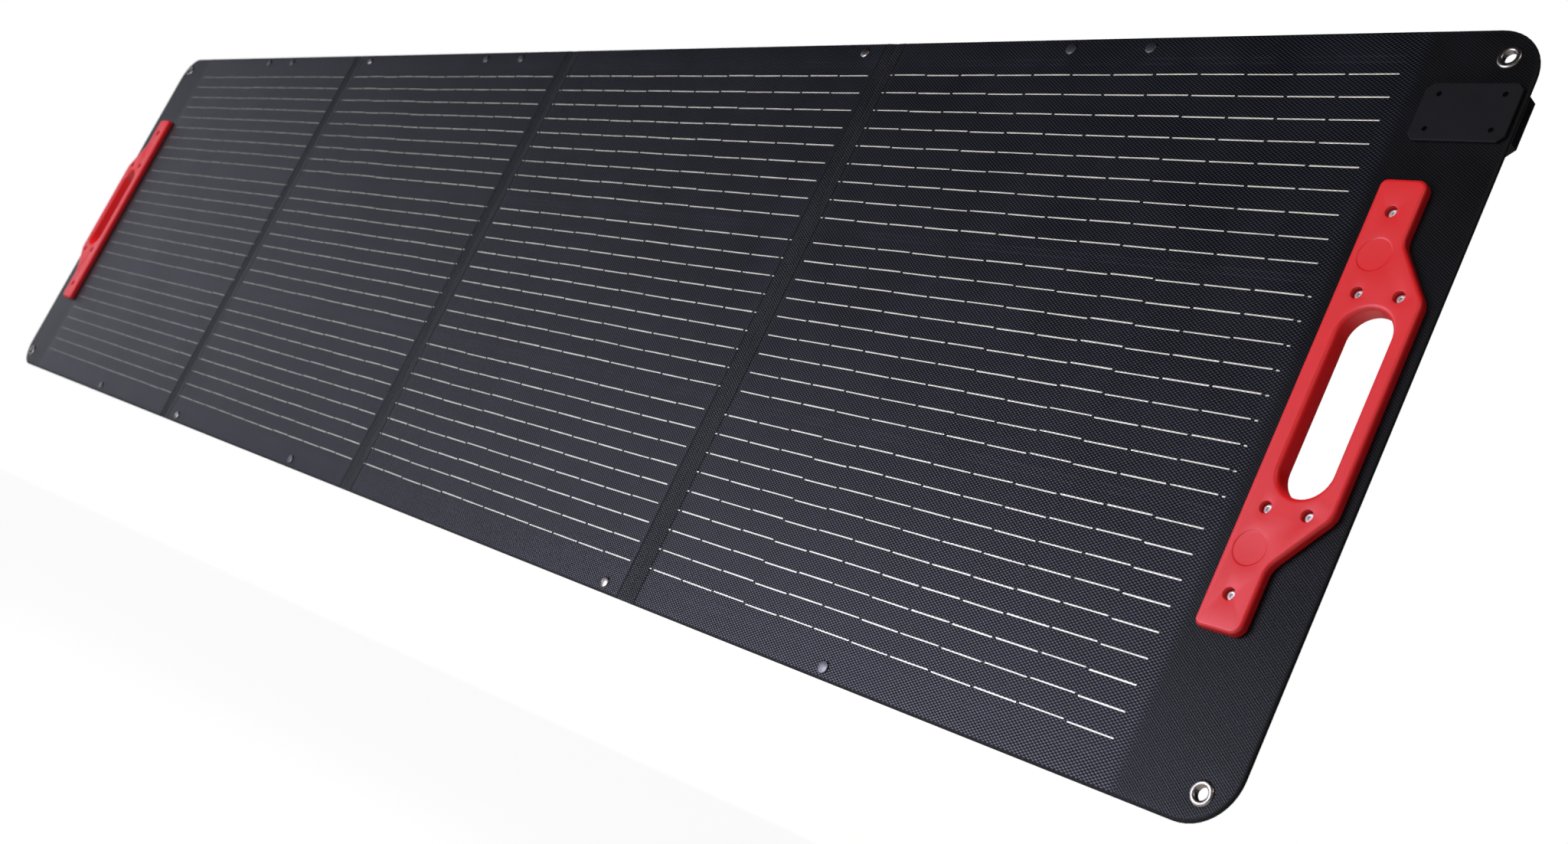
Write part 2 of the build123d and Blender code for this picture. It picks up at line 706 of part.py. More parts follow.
def output_socket():
    """The output socket: a flanged barrel with a centre pin, its mouth towards -X."""
    mouth = BOX_LEFT - SOCKET_MOUTH
    hole_end = mouth + SOCKET_HOLE_DEPTH
    barrel = rod(SOCKET_BARREL, mouth, mouth + SOCKET_DEPTH, SOCKET_Y, SOCKET_Z)
    barrel += rod(SOCKET_FLANGE, BOX_LEFT - SOCKET_FLANGE_THICKNESS, BOX_LEFT, SOCKET_Y, SOCKET_Z)
    barrel -= rod(SOCKET_HOLE, mouth, hole_end, SOCKET_Y, SOCKET_Z)
    return barrel + rod(PIN_RADIUS, mouth + PIN_SETBACK, hole_end + PIN_RADIUS, SOCKET_Y, SOCKET_Z)


def socket_lid():
    """The dust lid over the output socket: a disc with a shallow plug, on a hinge barrel."""
    inner = BOX_LEFT - SOCKET_MOUTH - FIT
    axis_x = BOX_LEFT - LID_AXIS_OUT
    lid = rod(LID_RADIUS, inner - LID_THICKNESS, inner, SOCKET_Y, SOCKET_Z)
    lid += rod(LID_PLUG[0], inner, inner + LID_PLUG[1], SOCKET_Y, SOCKET_Z)
    neck_low = SOCKET_Z + LID_NECK_START
    neck = Box(LID_THICKNESS, LID_NECK, LID_AXIS_Z - neck_low)
    lid += Pos(inner - LID_THICKNESS / 2, SOCKET_Y, (neck_low + LID_AXIS_Z) / 2) * neck
    lid += disc(axis_x, LID_AXIS_Z, LID_BARREL, SOCKET_Y - LID_NECK / 2, LID_NECK)
    return lid - disc(axis_x, LID_AXIS_Z, LID_PIN + FIT / 2, SOCKET_Y - LID_NECK, 2 * LID_NECK)


def save_junction_box():
    save("box_plate", [box_plate()])
    save("box_screws", [box_screw(x, z) for x, z in BOX_SCREWS])
    save("box_gasket", [box_gasket()])
    save("box_housing", [box_housing()])
    save("box_circuit", box_circuit())
    save("output_socket", [output_socket()])
    save("socket_lid", [socket_lid()])


os.makedirs("parts", exist_ok=True)
for panel in range(1, PANELS + 1):
    save_panel(panel)
for panel, centre_x in KICKSTANDS.items():
    save_kickstand(panel, centre_x)
for end, x, rear_part in (("studs", -CLOSURE_X, closure_stud), ("sockets", CLOSURE_X, closure_socket)):
    save(f"closure_snap_{end}", [make(x, z) for make in (closure_cap, rear_part) for z in (CAP_Z, -CAP_Z)])
save_end_fittings(-1, "left")
save_end_fittings(1, "right")
save_junction_box()
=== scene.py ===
import math
import random

import bpy
import numpy as np
from mathutils import Matrix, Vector
from mathutils.geometry import delaunay_2d_cdt

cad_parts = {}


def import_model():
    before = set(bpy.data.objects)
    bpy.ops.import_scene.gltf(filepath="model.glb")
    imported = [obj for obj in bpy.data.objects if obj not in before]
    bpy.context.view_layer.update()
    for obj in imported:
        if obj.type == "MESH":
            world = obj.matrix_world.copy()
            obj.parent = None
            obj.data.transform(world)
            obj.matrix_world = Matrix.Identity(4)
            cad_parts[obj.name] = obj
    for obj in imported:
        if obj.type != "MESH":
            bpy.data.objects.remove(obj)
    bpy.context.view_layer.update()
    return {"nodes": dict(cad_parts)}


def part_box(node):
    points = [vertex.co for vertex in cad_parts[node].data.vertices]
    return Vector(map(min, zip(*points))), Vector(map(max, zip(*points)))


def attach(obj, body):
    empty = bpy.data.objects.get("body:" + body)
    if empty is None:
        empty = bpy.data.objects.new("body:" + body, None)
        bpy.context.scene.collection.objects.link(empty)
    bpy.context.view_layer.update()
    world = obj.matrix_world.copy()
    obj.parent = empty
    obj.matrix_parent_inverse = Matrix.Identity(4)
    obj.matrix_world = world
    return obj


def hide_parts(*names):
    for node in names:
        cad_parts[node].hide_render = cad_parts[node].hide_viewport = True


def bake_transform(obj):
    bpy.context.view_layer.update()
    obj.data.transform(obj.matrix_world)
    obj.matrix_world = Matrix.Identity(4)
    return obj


# The looks of a folding solar sheet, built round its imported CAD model. Shapes are drawn in millimetres, in the
# CAD frame: X along the open sheet, Z up, the lit face towards -Y. Pieces are made at one thousandth scale.
MM = 0.001
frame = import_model()
NODES = frame["nodes"]


def span(node, axis):
    """The lowest and highest coordinate of a CAD node along one axis, in millimetres."""
    low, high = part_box(node)
    return low[axis] / MM, high[axis] / MM


# Levels through the sheet, read off the CAD layers
FRONT = span("panel_2_film", 1)[0]
BOARD_BACK = span("panel_2_board", 1)[1]
BACK = span("panel_2_rear_cover", 1)[1]
FACING = span("panel_4_end_facing", 1)[0]
HALF_HEIGHT = span("panel_2_film", 2)[1]
HALF_LENGTH = span("panel_4_rear_cover", 0)[1]
LAMINATE = {n: span(f"panel_{n}_film", 0) for n in (1, 2, 3, 4)}
CENTRE = {n: sum(LAMINATE[n]) / 2 for n in LAMINATE}
FOLDS = [(LAMINATE[n][1] + LAMINATE[n + 1][0]) / 2 for n in (1, 2, 3)]
STRIP_HALF = FOLDS[1] - LAMINATE[2][1]

# Cells: twelve strips in each of three rows, nine busbars to a row
STRIPS = 12
ROWS = 3
BUSBARS = 9
STRIP_GAP = 1.5
CELL_BLOCK = span("panel_2_cells", 0)[1] - span("panel_2_cells", 0)[0]
STRIP_PITCH = (CELL_BLOCK + STRIP_GAP) / STRIPS
ROW_PITCH = 164.25
WAFER = 158.75

KICKSTANDS = {n: sum(span(f"kickstand_{n}_leg", 0)) / 2 for n in (1, 2, 4)}
rng = random.Random(7)


# ---- Mesh building -------------------------------------------------------------------------------------------------

class Shell:
    """Collects the points and faces of one piece, in millimetres. Loops run anticlockwise round material."""

    def __init__(self):
        self.points = []
        self.faces = []
        self.slots = []

    def ring(self, loop, y):
        """Adds a loop of (x, z) points at depth y."""
        start = len(self.points)
        self.points += [(x, y, z) for x, z in loop]
        return list(range(start, start + len(loop)))

    def band(self, a, b, slot=0, closed=True):
        """Joins two rings with the same number of points by quads."""
        count = len(a) if closed else len(a) - 1
        for i in range(count):
            j = (i + 1) % len(a)
            self.faces.append((a[i], b[i], b[j], a[j]))
            self.slots.append(slot)

    def wall(self, loop, profile, slot=0):
        """Carries a loop down a profile of (inset, y) steps, and returns its first and last rings."""
        rings = [self.ring(offset(loop, inset), y) for inset, y in profile]
        for a, b in zip(rings, rings[1:]):
            self.band(a, b, slot)
        return rings[0], rings[-1]

    def cap(self, rings, slot=0, step=None, backwards=False):
        """Fills the flat area bounded by rings, with a grid of inner points if a step is given."""
        index = [i for ring in rings for i in ring]
        flat = np.array([(self.points[i][0], self.points[i][2]) for i in index])
        y = self.points[index[0]][1]
        edges = []
        start = 0
        for ring in rings:
            edges += [(start + i, start + (i + 1) % len(ring)) for i in range(len(ring))]
            start += len(ring)
        inner = np.empty((0, 2))
        if step:
            low, high = flat.min(0), flat.max(0)
            counts = np.maximum(((high - low) / step).astype(int), 1)
            axes = [low[k] + (np.arange(counts[k]) + 0.5) * (high[k] - low[k]) / counts[k] for k in (0, 1)]
            inner = np.array(np.meshgrid(*axes)).reshape(2, -1).T
            inner = inner[inside(inner, flat, edges) & (distance(inner, flat, edges) > step * 0.45)]
        placed = np.vstack([flat, inner])
        corners, _, faces, source, _, _ = delaunay_2d_cdt([tuple(p) for p in placed], edges, [], 0, 1e-7, True)
        corners = np.array([tuple(c) for c in corners])
        real = {}
        for new, old in enumerate(source):
            first = old[0] if old else None
            if first is not None and first < len(index):
                real[new] = index[first]
            else:
                real[new] = len(self.points)
                self.points.append((corners[new][0], y, corners[new][1]))
        faces = np.array([f for f in faces if len(f) == 3])
        a, b, c = (corners[faces[:, k]] for k in range(3))
        area = ((b - a)[:, 0] * (c - a)[:, 1] - (b - a)[:, 1] * (c - a)[:, 0]) / 2
        keep = inside((a + b + c) / 3, flat, edges) & (np.abs(area) > 1e-3)
        for f, turn in zip(faces[keep], area[keep]):
            order = [real[i] for i in f]
            if (turn < 0) != backwards:
                order.reverse()
            self.faces.append(tuple(order))
            self.slots.append(slot)

    def lathe(self, centre, profile, count=32, slot=0, six_sided=()):
        """Turns (radius, y) points about a line along Y. Rings listed in six_sided become hexagons."""
        angles = np.arange(count) / count * 2 * math.pi
        hexagon = math.cos(math.pi / 6) / np.cos(angles % (math.pi / 3) - math.pi / 6)
        rings = []
        closed = profile[0] == profile[-1]
        for n, (radius, y) in enumerate(profile[:-1] if closed else profile):
            r = radius * (hexagon if n in six_sided else np.ones(count))
            if radius < 1e-6:
                self.points.append((centre[0], y, centre[1]))
                rings.append([len(self.points) - 1] * count)
            else:
                rings.append(self.ring(list(zip(centre[0] + r * np.cos(angles), centre[1] + r * np.sin(angles))), y))
        if closed:
            rings.append(rings[0])
        for a, b in zip(rings, rings[1:]):
            for i in range(count):
                j = (i + 1) % count
                corners = list(dict.fromkeys((a[i], b[i], b[j], a[j])))
                self.faces.append(tuple(corners))
                self.slots.append(slot)

    def tube(self, rings):
        """Joins a row of rings and closes both ends."""
        for a, b in zip(rings, rings[1:]):
            self.band(a, b)
        self.faces += [tuple(rings[0]), tuple(rings[-1][::-1])]
        self.slots += [0, 0]

    def move(self, change):
        """Shifts the depth of every point by change(x, y, z)."""
        p = np.array(self.points)
        p[:, 1] += change(p[:, 0], p[:, 1], p[:, 2])
        self.points = [tuple(v) for v in p]

    def piece(self, name, materials, smooth_angle=35, mirrored=False):
        """Makes the object. Its resting coordinates are kept as an attribute, which its materials read."""
        p = np.array(self.points, float) * MM
        faces = self.faces
        if mirrored:
            p = p * (-1, 1, 1)
            faces = [f[::-1] for f in faces]
        data = bpy.data.meshes.new(name)
        data.from_pydata(p.tolist(), [], faces)
        for m in materials:
            data.materials.append(m)
        data.polygons.foreach_set("material_index", self.slots)
        data.polygons.foreach_set("use_smooth", [True] * len(faces))
        data.attributes.new("rest", "FLOAT_VECTOR", "POINT").data.foreach_set("vector", p.astype(np.float32).ravel())
        data.set_sharp_from_angle(angle=math.radians(smooth_angle))
        data.update()
        obj = bpy.data.objects.new(name, data)
        bpy.context.scene.collection.objects.link(obj)
        return obj


def offset(loop, inset):
    """Moves a closed loop to its left, which is into the material."""
    p = np.array(loop, float)
    if abs(inset) < 1e-9:
        return p
    ahead = np.roll(p, -1, 0) - p
    ahead /= np.linalg.norm(ahead, axis=1)[:, None]
    normal = np.stack([-ahead[:, 1], ahead[:, 0]], 1)
    both = normal + np.roll(normal, 1, 0)
    both /= np.linalg.norm(both, axis=1)[:, None]
    lean = np.clip((both * normal).sum(1), 0.5, 1)
    return p + both * (inset / lean)[:, None]


def inside(points, flat, edges):
    """Which points lie inside the area bounded by edges, by the even-odd rule."""
    x, z = points[:, 0], points[:, 1]
    found = np.zeros(len(points), bool)
    for i, j in edges:
        (x1, z1), (x2, z2) = flat[i], flat[j]
        if z1 == z2:
            continue
        crosses = ((z1 > z) != (z2 > z)) & (x < (x2 - x1) * (z - z1) / (z2 - z1) + x1)
        found ^= crosses
    return found


def distance(points, flat, edges):
    """How far each point is from the nearest edge."""
    nearest = np.full(len(points), 1e9)
    for i, j in edges:
        a, along = flat[i], flat[j] - flat[i]
        t = np.clip(((points - a) @ along) / (along @ along), 0, 1)
        nearest = np.minimum(nearest, np.linalg.norm(points - a - t[:, None] * along, axis=1))
    return nearest


def rounded(corners, arc=8, spacing=None):
    """An anticlockwise loop from (x, z, radius) corners, each corner turned into an arc of its radius."""
    made = []
    count = len(corners)
    for i in range(count):
        here = np.array(corners[i][:2], float)
        before = np.array(corners[i - 1][:2], float) - here
        after = np.array(corners[(i + 1) % count][:2], float) - here
        before /= np.linalg.norm(before)
        after /= np.linalg.norm(after)
        radius = corners[i][2]
        if radius < 1e-6:
            made.append(here)
            continue
        half = math.acos(np.clip(before @ after, -1, 1)) / 2
        reach = radius / math.tan(half)
        middle = here + (before + after) / np.linalg.norm(before + after) * radius / math.sin(half)
        a, b = here + before * reach - middle, here + after * reach - middle
        start = math.atan2(a[1], a[0])
        sweep = (math.atan2(b[1], b[0]) - start + math.pi) % (2 * math.pi) - math.pi
        for k in range(arc + 1):
            angle = start + sweep * k / arc
            made.append(middle + radius * np.array([math.cos(angle), math.sin(angle)]))
    loop = np.array(made)
    if spacing:
        filled = []
        for a, b in zip(loop, np.roll(loop, -1, 0)):
            steps = max(1, int(np.linalg.norm(b - a) / spacing))
            filled += [a + (b - a) * k / steps for k in range(steps)]
        loop = np.array(filled)
    return loop


def rectangle(x1, x2, z1, z2, radius=0.0, spacing=None, arc=8):
    return rounded([(x1, z1, radius), (x2, z1, radius), (x2, z2, radius), (x1, z2, radius)], arc, spacing)


def circle(x, z, radius, count=24):
    angles = np.arange(count) / count * 2 * math.pi
    return np.stack([x + radius * np.cos(angles), z + radius * np.sin(angles)], 1)


def hole(loop):
    """The same loop run the other way, so that the material is outside it."""
    return loop[::-1]


def rim(radius, y, towards=1, steps=5, spread=1.0):
    """A quarter-round edge profile from a face at y, as (inset, y) steps, drawn out across the face by a factor."""
    angles = [k / steps * math.pi / 2 for k in range(steps + 1)]
    return [(spread * radius * (1 - math.sin(a)), y + towards * radius * (1 - math.cos(a))) for a in angles]


def through(front, back, front_rim, back_rim, spread=1.0):
    """A wall profile from a rounded front edge to a rounded back edge."""
    return rim(front_rim, front, spread=spread) + rim(back_rim, back, -1)[::-1]


def smooth_step(t):
    t = np.clip(t, 0, 1)
    return t * t * (3 - 2 * t)


WAVES = [(rng.uniform(150, 330), rng.uniform(0, math.pi), rng.uniform(0, 6.3), rng.uniform(0.03, 0.07)) for _ in range(9)]


def sag(x, z):
    """The slight unevenness of the laminate, nothing at its edges, where fittings are fixed."""
    wave = sum(a * np.sin(2 * math.pi * (x * math.cos(t) + z * math.sin(t)) / w + p) for w, t, p, a in WAVES)
    nearest = np.min([np.abs(x - CENTRE[n]) for n in CENTRE], axis=0)
    half = (LAMINATE[2][1] - LAMINATE[2][0]) / 2
    fade = smooth_step((half - nearest) / 45) * smooth_step((HALF_HEIGHT - 16 - np.abs(z)) / 45)
    return wave * fade


def front_sag(x, y, z):
    return sag(x, z) * np.where(y < 0, 1.0, 0.4)


def back_sag(x, y, z):
    return sag(x, z) * 0.4


# ---- Materials -----------------------------------------------------------------------------------------------------

def srgb(r, g, b):
    """A display colour of 0 to 255 as linear light."""
    return tuple(c / 3294.6 if c < 10.3 else ((c / 255 + 0.055) / 1.055) ** 2.4 for c in (r, g, b)) + (1.0,)


class Surface:
    """A material of procedural nodes round one Principled shader."""

    def __init__(self, name, colour, roughness=0.5, metallic=0.0, **inputs):
        self.material = bpy.data.materials.new(name)
        self.material.use_nodes = True
        self.tree = self.material.node_tree
        self.shader = self.tree.nodes["Principled BSDF"]
        self.material.diffuse_color = colour
        self.set("Base Color", colour)
        self.set("Roughness", roughness)
        self.set("Metallic", metallic)
        for key, value in inputs.items():
            self.set(key.replace("_", " "), value)

    def set(self, name, value):
        self.join(self.shader.inputs[name], value)

    def join(self, socket, value):
        if isinstance(value, bpy.types.NodeSocket):
            self.tree.links.new(value, socket)
        else:
            socket.default_value = value

    def node(self, kind, inputs=None, output=0, **settings):
        made = self.tree.nodes.new(kind)
        for key, value in settings.items():
            setattr(made, key, value)
        for key, value in (inputs or {}).items():
            self.join(made.inputs[key], value)
        return made.outputs[output]

    def math(self, operation, a, b=0.0, c=0.0):
        return self.node("ShaderNodeMath", {0: a, 1: b, 2: c}, operation=operation)

    def between(self, value, low, high):
        """0 at low, 1 at high, smooth between."""
        inputs = {"Value": value, "From Min": low, "From Max": high}
        return self.node("ShaderNodeMapRange", inputs, interpolation_type="SMOOTHSTEP")

    def mix(self, share, a, b):
        return self.node("ShaderNodeMix", {0: share, 6: a, 7: b}, output=2, data_type="RGBA")

    def place(self, resting=True):
        """Coordinates that stay with the piece: its resting place, or its own object's space."""
        if resting:
            return self.node("ShaderNodeAttribute", output="Vector", attribute_name="rest")
        return self.node("ShaderNodeTexCoord", output="Object")

    def axes(self, place):
        node = self.tree.nodes.new("ShaderNodeSeparateXYZ")
        self.tree.links.new(place, node.inputs[0])
        return node.outputs[0], node.outputs[1], node.outputs[2]

    def noise(self, place, size, detail=3.0, roughness=0.5):
        """Noise of a given size in millimetres."""
        inputs = {"Vector": place, "Scale": 1 / (size * MM), "Detail": detail, "Roughness": roughness}
        return self.node("ShaderNodeTexNoise", inputs, output=0)

    def bump(self, height, depth, normal=None, strength=1.0):
        """Relief of a given depth in millimetres."""
        inputs = {"Height": height, "Distance": depth * MM, "Strength": strength}
        if normal is not None:
            inputs["Normal"] = normal
        return self.node("ShaderNodeBump", inputs)

    def edge_round(self, radius):
        return self.node("ShaderNodeBevel", {"Radius": radius * MM}, samples=4)


def lattice(s, x, z):
    """The film's embossed pattern: rows of small raised points, every other row shifted by half a step."""
    across = s.math("COSINE", s.math("MULTIPLY", x, 2 * math.pi * 249.0))
    along = s.math("COSINE", s.math("MULTIPLY", z, 2 * math.pi * 415.0))
    return s.math("MULTIPLY", across, along)


def film_material(name, dark, bright, cell=None, margin=None, relief=0.05, shine=0.28):
    s = Surface(name, dark, 0.42, IOR=1.46, Specular_IOR_Level=shine)
    place = s.place()
    x, _, z = s.axes(place)
    points = lattice(s, x, z)
    cloud = s.noise(place, 60, 2)
    fine = s.noise(place, 0.7, 2)
    # Painted highlight: the film's raised points take the lighter colour, standing in for the glints off their tops.
    colour = s.mix(s.between(points, 0.25, 1.0), dark, bright)
    if cell:
        pitch = (FOLDS[1] - FOLDS[0]) * MM
        across = s.math("SUBTRACT", s.math("FLOORED_MODULO", s.math("ADD", x, 2 * pitch), pitch), pitch / 2)
        block = CELL_BLOCK * MM / 2
        strip = s.math("FLOORED_MODULO", s.math("ADD", across, block), STRIP_PITCH * MM)
        in_strip = s.math("LESS_THAN", strip, (STRIP_PITCH - STRIP_GAP) * MM)
        in_block = s.math("LESS_THAN", s.math("ABSOLUTE", across), block)
        row = s.math("FLOORED_MODULO", s.math("ADD", z, 1.5 * ROW_PITCH * MM), ROW_PITCH * MM)
        row_edge = s.math("ABSOLUTE", s.math("SUBTRACT", row, ROW_PITCH * MM / 2))
        in_row = s.math("LESS_THAN", row_edge, WAFER * MM / 2)
        in_rows = s.math("LESS_THAN", s.math("ABSOLUTE", z), (ROW_PITCH + WAFER / 2) * MM)
        mask = s.math("MULTIPLY", s.math("MULTIPLY", in_strip, in_block), s.math("MULTIPLY", in_row, in_rows))
        colour = s.mix(s.math("MULTIPLY", mask, 0.3), colour, cell)
        outline = s.math("COMPARE", row_edge, WAFER * MM / 2 + 0.0004, 0.0005)
        outline = s.math("MULTIPLY", s.math("MULTIPLY", outline, in_block), s.between(s.noise(place, 30, 1), 0.35, 0.6))
        colour = s.mix(s.math("MULTIPLY", outline, 0.3), colour, bright)
    if margin:
        end = s.between(s.math("ABSOLUTE", x), (LAMINATE[4][1] + 1) * MM, (LAMINATE[4][1] + 13) * MM)
        rise = s.math("ADD", s.math("MULTIPLY", x, 2 * math.pi * 360.0), s.math("MULTIPLY", z, 2 * math.pi * 560.0))
        twill = s.math("MULTIPLY", s.math("COSINE", rise), 0.3)
        points = s.math("ADD", s.math("MULTIPLY", twill, end), s.math("MULTIPLY", points, s.math("SUBTRACT", 1.0, s.math("MULTIPLY", end, 0.85))))
        # Painted highlight: the twill ridges and the fading points take the margin's lighter colour.
        plain = s.mix(s.between(points, -0.4, 0.5), margin[0], margin[1])
        colour = s.mix(end, colour, plain)
        shine = s.node("ShaderNodeMapRange", {"Value": end, "To Min": shine, "To Max": shine * 0.8})
    glint = s.node("ShaderNodeMapRange", {"Value": points, "From Min": -0.2, "From Max": 1.0, "To Min": 0.3, "To Max": 4.0})
    s.set("Specular IOR Level", s.math("MULTIPLY", glint, shine))
    s.set("Base Color", s.mix(s.between(cloud, 0.3, 0.7), colour, s.mix(0.08, colour, bright)))
    s.set("Roughness", s.node("ShaderNodeMapRange", {"Value": cloud, "To Min": 0.36, "To Max": 0.43}))
    height = s.math("ADD", points, s.math("MULTIPLY", fine, 0.35))
    s.set("Normal", s.bump(height, relief))
    return s.material


def ribbon_material():
    s = Surface("ribbon", srgb(215, 210, 200), 0.38, 0.35, IOR=1.46)
    place = s.place()
    x, _, z = s.axes(place)
    # Painted highlight: the ribbons are lighter in beads where the film's raised points would catch the light, broken
    # up by random specks.
    bead_glints = s.between(lattice(s, x, z), -0.9, 0.7)
    speck = s.noise(place, 1.6, 2)
    lit = s.mix(s.math("MULTIPLY", bead_glints, s.between(speck, 0.15, 0.6)), srgb(205, 201, 190), srgb(246, 242, 230))
    # Painted shade: the ribbons' colour dulls towards grazing views, standing in for their reflection falling away.
    grazing = s.between(s.node("ShaderNodeLayerWeight", {"Blend": 0.5}, output="Facing"), 0.44, 0.73)
    s.set("Base Color", s.mix(grazing, lit, srgb(120, 118, 110)))
    s.set("Normal", s.bump(lattice(s, x, z), 0.05))
    return s.material


def weave_material(name, dark, bright, thread=0.55, relief=0.12, resting=True):
    """A plain weave: threads of a given width that pass over and under each other, with painted shade between the
    threads.
    """
    s = Surface(name, dark, 0.85, Sheen_Weight=0.25, Sheen_Roughness=0.5)
    place = s.place(resting)
    wander = s.noise(place, 9, 2)
    x, y, z = s.axes(place)
    warp = s.math("MULTIPLY", s.math("ADD", s.math("ADD", x, y), s.math("MULTIPLY", wander, 0.0003)), math.pi / (thread * MM))
    weft = s.math("MULTIPLY", s.math("ADD", z, s.math("MULTIPLY", wander, 0.0003)), math.pi / (thread * MM))
    over = s.math("GREATER_THAN", s.math("MULTIPLY", s.math("SINE", s.math("MULTIPLY", warp, 0.5)), s.math("SINE", s.math("MULTIPLY", weft, 0.5))), 0.0)
    up = s.math("ABSOLUTE", s.math("SINE", warp))
    flat = s.math("ABSOLUTE", s.math("SINE", weft))
    height = s.math("ADD", s.math("MULTIPLY", over, up), s.math("MULTIPLY", s.math("SUBTRACT", 1.0, over), flat))
    slub = s.noise(place, 3.5, 3)
    # Painted shade: each thread is darker towards its edges, where its neighbours shade it, and lighter on its crown;
    # random slubs vary the tone too.
    tone = s.math("MULTIPLY", height, s.between(slub, 0.1, 0.9))
    s.set("Base Color", s.mix(tone, dark, bright))
    s.set("Roughness", s.node("ShaderNodeMapRange", {"Value": slub, "To Min": 0.75, "To Max": 0.95}))
    s.set("Normal", s.bump(height, relief, s.bump(s.noise(place, 40, 2), 0.8)))
    return s.material


def plastic_material(name, colour, roughness, grain=0.35, relief=0.02, resting=True, edge=0.25, vary=1.22, shine=0.5):
    """Moulded plastic with a fine spark-eroded grain, and light wear on its tone."""
    s = Surface(name, colour, roughness, IOR=1.5, Specular_IOR_Level=shine)
    place = s.place(resting)
    cloud = s.noise(place, 25, 3)
    fine = s.noise(place, grain, 2)
    lighter = tuple(min(1.0, c * vary) for c in colour[:3]) + (1.0,)
    s.set("Base Color", s.mix(s.between(cloud, 0.3, 0.75), colour, lighter))
    s.set("Roughness", s.node("ShaderNodeMapRange", {"Value": cloud, "To Min": roughness - 0.05, "To Max": roughness + 0.07}))
    s.set("Normal", s.bump(fine, relief, s.edge_round(edge)))
    return s.material


def metal_material(name, colour, roughness, grain=0.6, resting=True, tarnish=None, share=1.0):
    s = Surface(name, colour, roughness, share)
    place = s.place(resting)
    cloud = s.noise(place, 5, 3)
    fine = s.noise(place, grain, 2)
    s.set("Base Color", s.mix(s.between(cloud, 0.35, 0.75), colour, tarnish or tuple(c * 0.7 for c in colour[:3]) + (1.0,)))
    s.set("Roughness", s.node("ShaderNodeMapRange", {"Value": cloud, "To Min": roughness - 0.06, "To Max": roughness + 0.1}))
    s.set("Normal", s.bump(fine, 0.01, s.edge_round(0.15)))
    return s.material


# The lighter colour given to each film is its painted highlight on the raised points; the margin pair paints the twill
# ridges lighter.
FILM = film_material("film", srgb(6, 6, 11), srgb(47, 49, 61), srgb(6, 6, 12), (srgb(7, 7, 8), srgb(17, 17, 19)), shine=0.25)
FOLD_FILM = film_material("fold_film", srgb(4, 4, 5), srgb(58, 58, 63), relief=0.11, shine=0.17)
RIBBON = ribbon_material()
# Each weave's second colour is the painted light on the threads' crowns.
COVER = weave_material("cover_fabric", srgb(13, 13, 14), srgb(46, 46, 48))
LEG_FABRIC = weave_material("leg_fabric", srgb(15, 15, 16), srgb(52, 52, 54), thread=0.7, relief=0.16)
EDGE = plastic_material("sheet_edge", srgb(7, 7, 8), 0.6, shine=0.25)
RED = plastic_material("red_plastic", srgb(222, 26, 30), 0.42, grain=0.5, relief=0.03, vary=1.05, shine=0.65)
BLACK = plastic_material("black_plastic", srgb(11, 11, 13), 0.55, resting=False, relief=0.02, shine=0.3)
RUBBER = plastic_material("rubber", srgb(16, 16, 16), 0.72, resting=False, relief=0.03)
FOAM = plastic_material("foam", srgb(24, 24, 24), 0.9, resting=False, grain=0.8, relief=0.2)
NICKEL = metal_material("nickel", srgb(168, 160, 150), 0.27)
GUNMETAL = metal_material("gunmetal", srgb(112, 112, 112), 0.38)
STEEL = metal_material("steel", srgb(240, 240, 242), 0.3, share=0.45)
DARK_STEEL = metal_material("dark_steel", srgb(28, 28, 29), 0.42, resting=False)
MAGNET = metal_material("magnet", srgb(168, 168, 170), 0.3, resting=False)
BRASS = metal_material("brass", srgb(190, 150, 88), 0.35, resting=False)
CIRCUIT = plastic_material("circuit", srgb(22, 74, 48), 0.5, resting=False, grain=1.5)
THREAD = weave_material("thread", srgb(58, 58, 60), srgb(142, 142, 146), thread=0.25, relief=0.1)


# ---- The sheet -----------------------------------------------------------------------------------------------------

def slab(loops, front, back, slots=(0, 1, 2), step=None, front_rim=0.4, back_rim=0.2, spread=1.0):
    """A solid plate: the first loop is its outline and the rest are holes through it."""
    shell = Shell()
    pairs = [shell.wall(loop, through(front, back, front_rim, back_rim, spread), slots[1]) for loop in loops]
    shell.cap([a for a, b in pairs], slots[0], step)
    shell.cap([b for a, b in pairs], slots[2], step, backwards=True)
    return shell


def snap_points(n):
    """Where snaps and rivets go through a panel."""
    points = []
    edge = sum(span("closure_snap_studs", 2)) / 2 + (span("closure_snap_studs", 2)[1] - 4.9)
    if n in (2, 3):
        x = sum(span("closure_snap_studs" if n == 2 else "closure_snap_sockets", 0)) / 2
        points += [(x, edge), (x, -edge)]
    return points


def end_outline(inner):
    """An end panel from its fold, drawn for the right end, with the sheet's round corners."""
    corner = 36.0
    return rounded([
        (inner, -HALF_HEIGHT, 0), (HALF_LENGTH, -HALF_HEIGHT, corner), (HALF_LENGTH, HALF_HEIGHT, corner),
        (inner, HALF_HEIGHT, 0)], 12, 12)


SLOT_X = 1091.4
SLOT_HALF = 18.4
SLOT_REACH = 63.8
EYELETS = [(1107.0, 247.0), (1107.0, -247.0)]
SCREWS = [(x, side * z) for x, z in ((1075.0, 131.0), (1075.0, 73.5), (1104.5, 73.5)) for side in (1, -1)]
MAGNETS = [(1076.0, 100.5), (1076.0, -100.5)]


def stadium(grow=0.0, arc=12):
    r = SLOT_HALF + grow
    end = SLOT_REACH + grow
    return rounded([(SLOT_X - r, -end, r * 0.9999), (SLOT_X + r, -end, r * 0.9999), (SLOT_X + r, end, r * 0.9999), (SLOT_X - r, end, r * 0.9999)], arc)


def end_drop(x, y, z):
    """Lets the front down to the level of the facing on the end margins."""
    return np.where(y < 0, (FACING - FRONT) * smooth_step((np.abs(x) - LAMINATE[4][1]) / 10), 0)


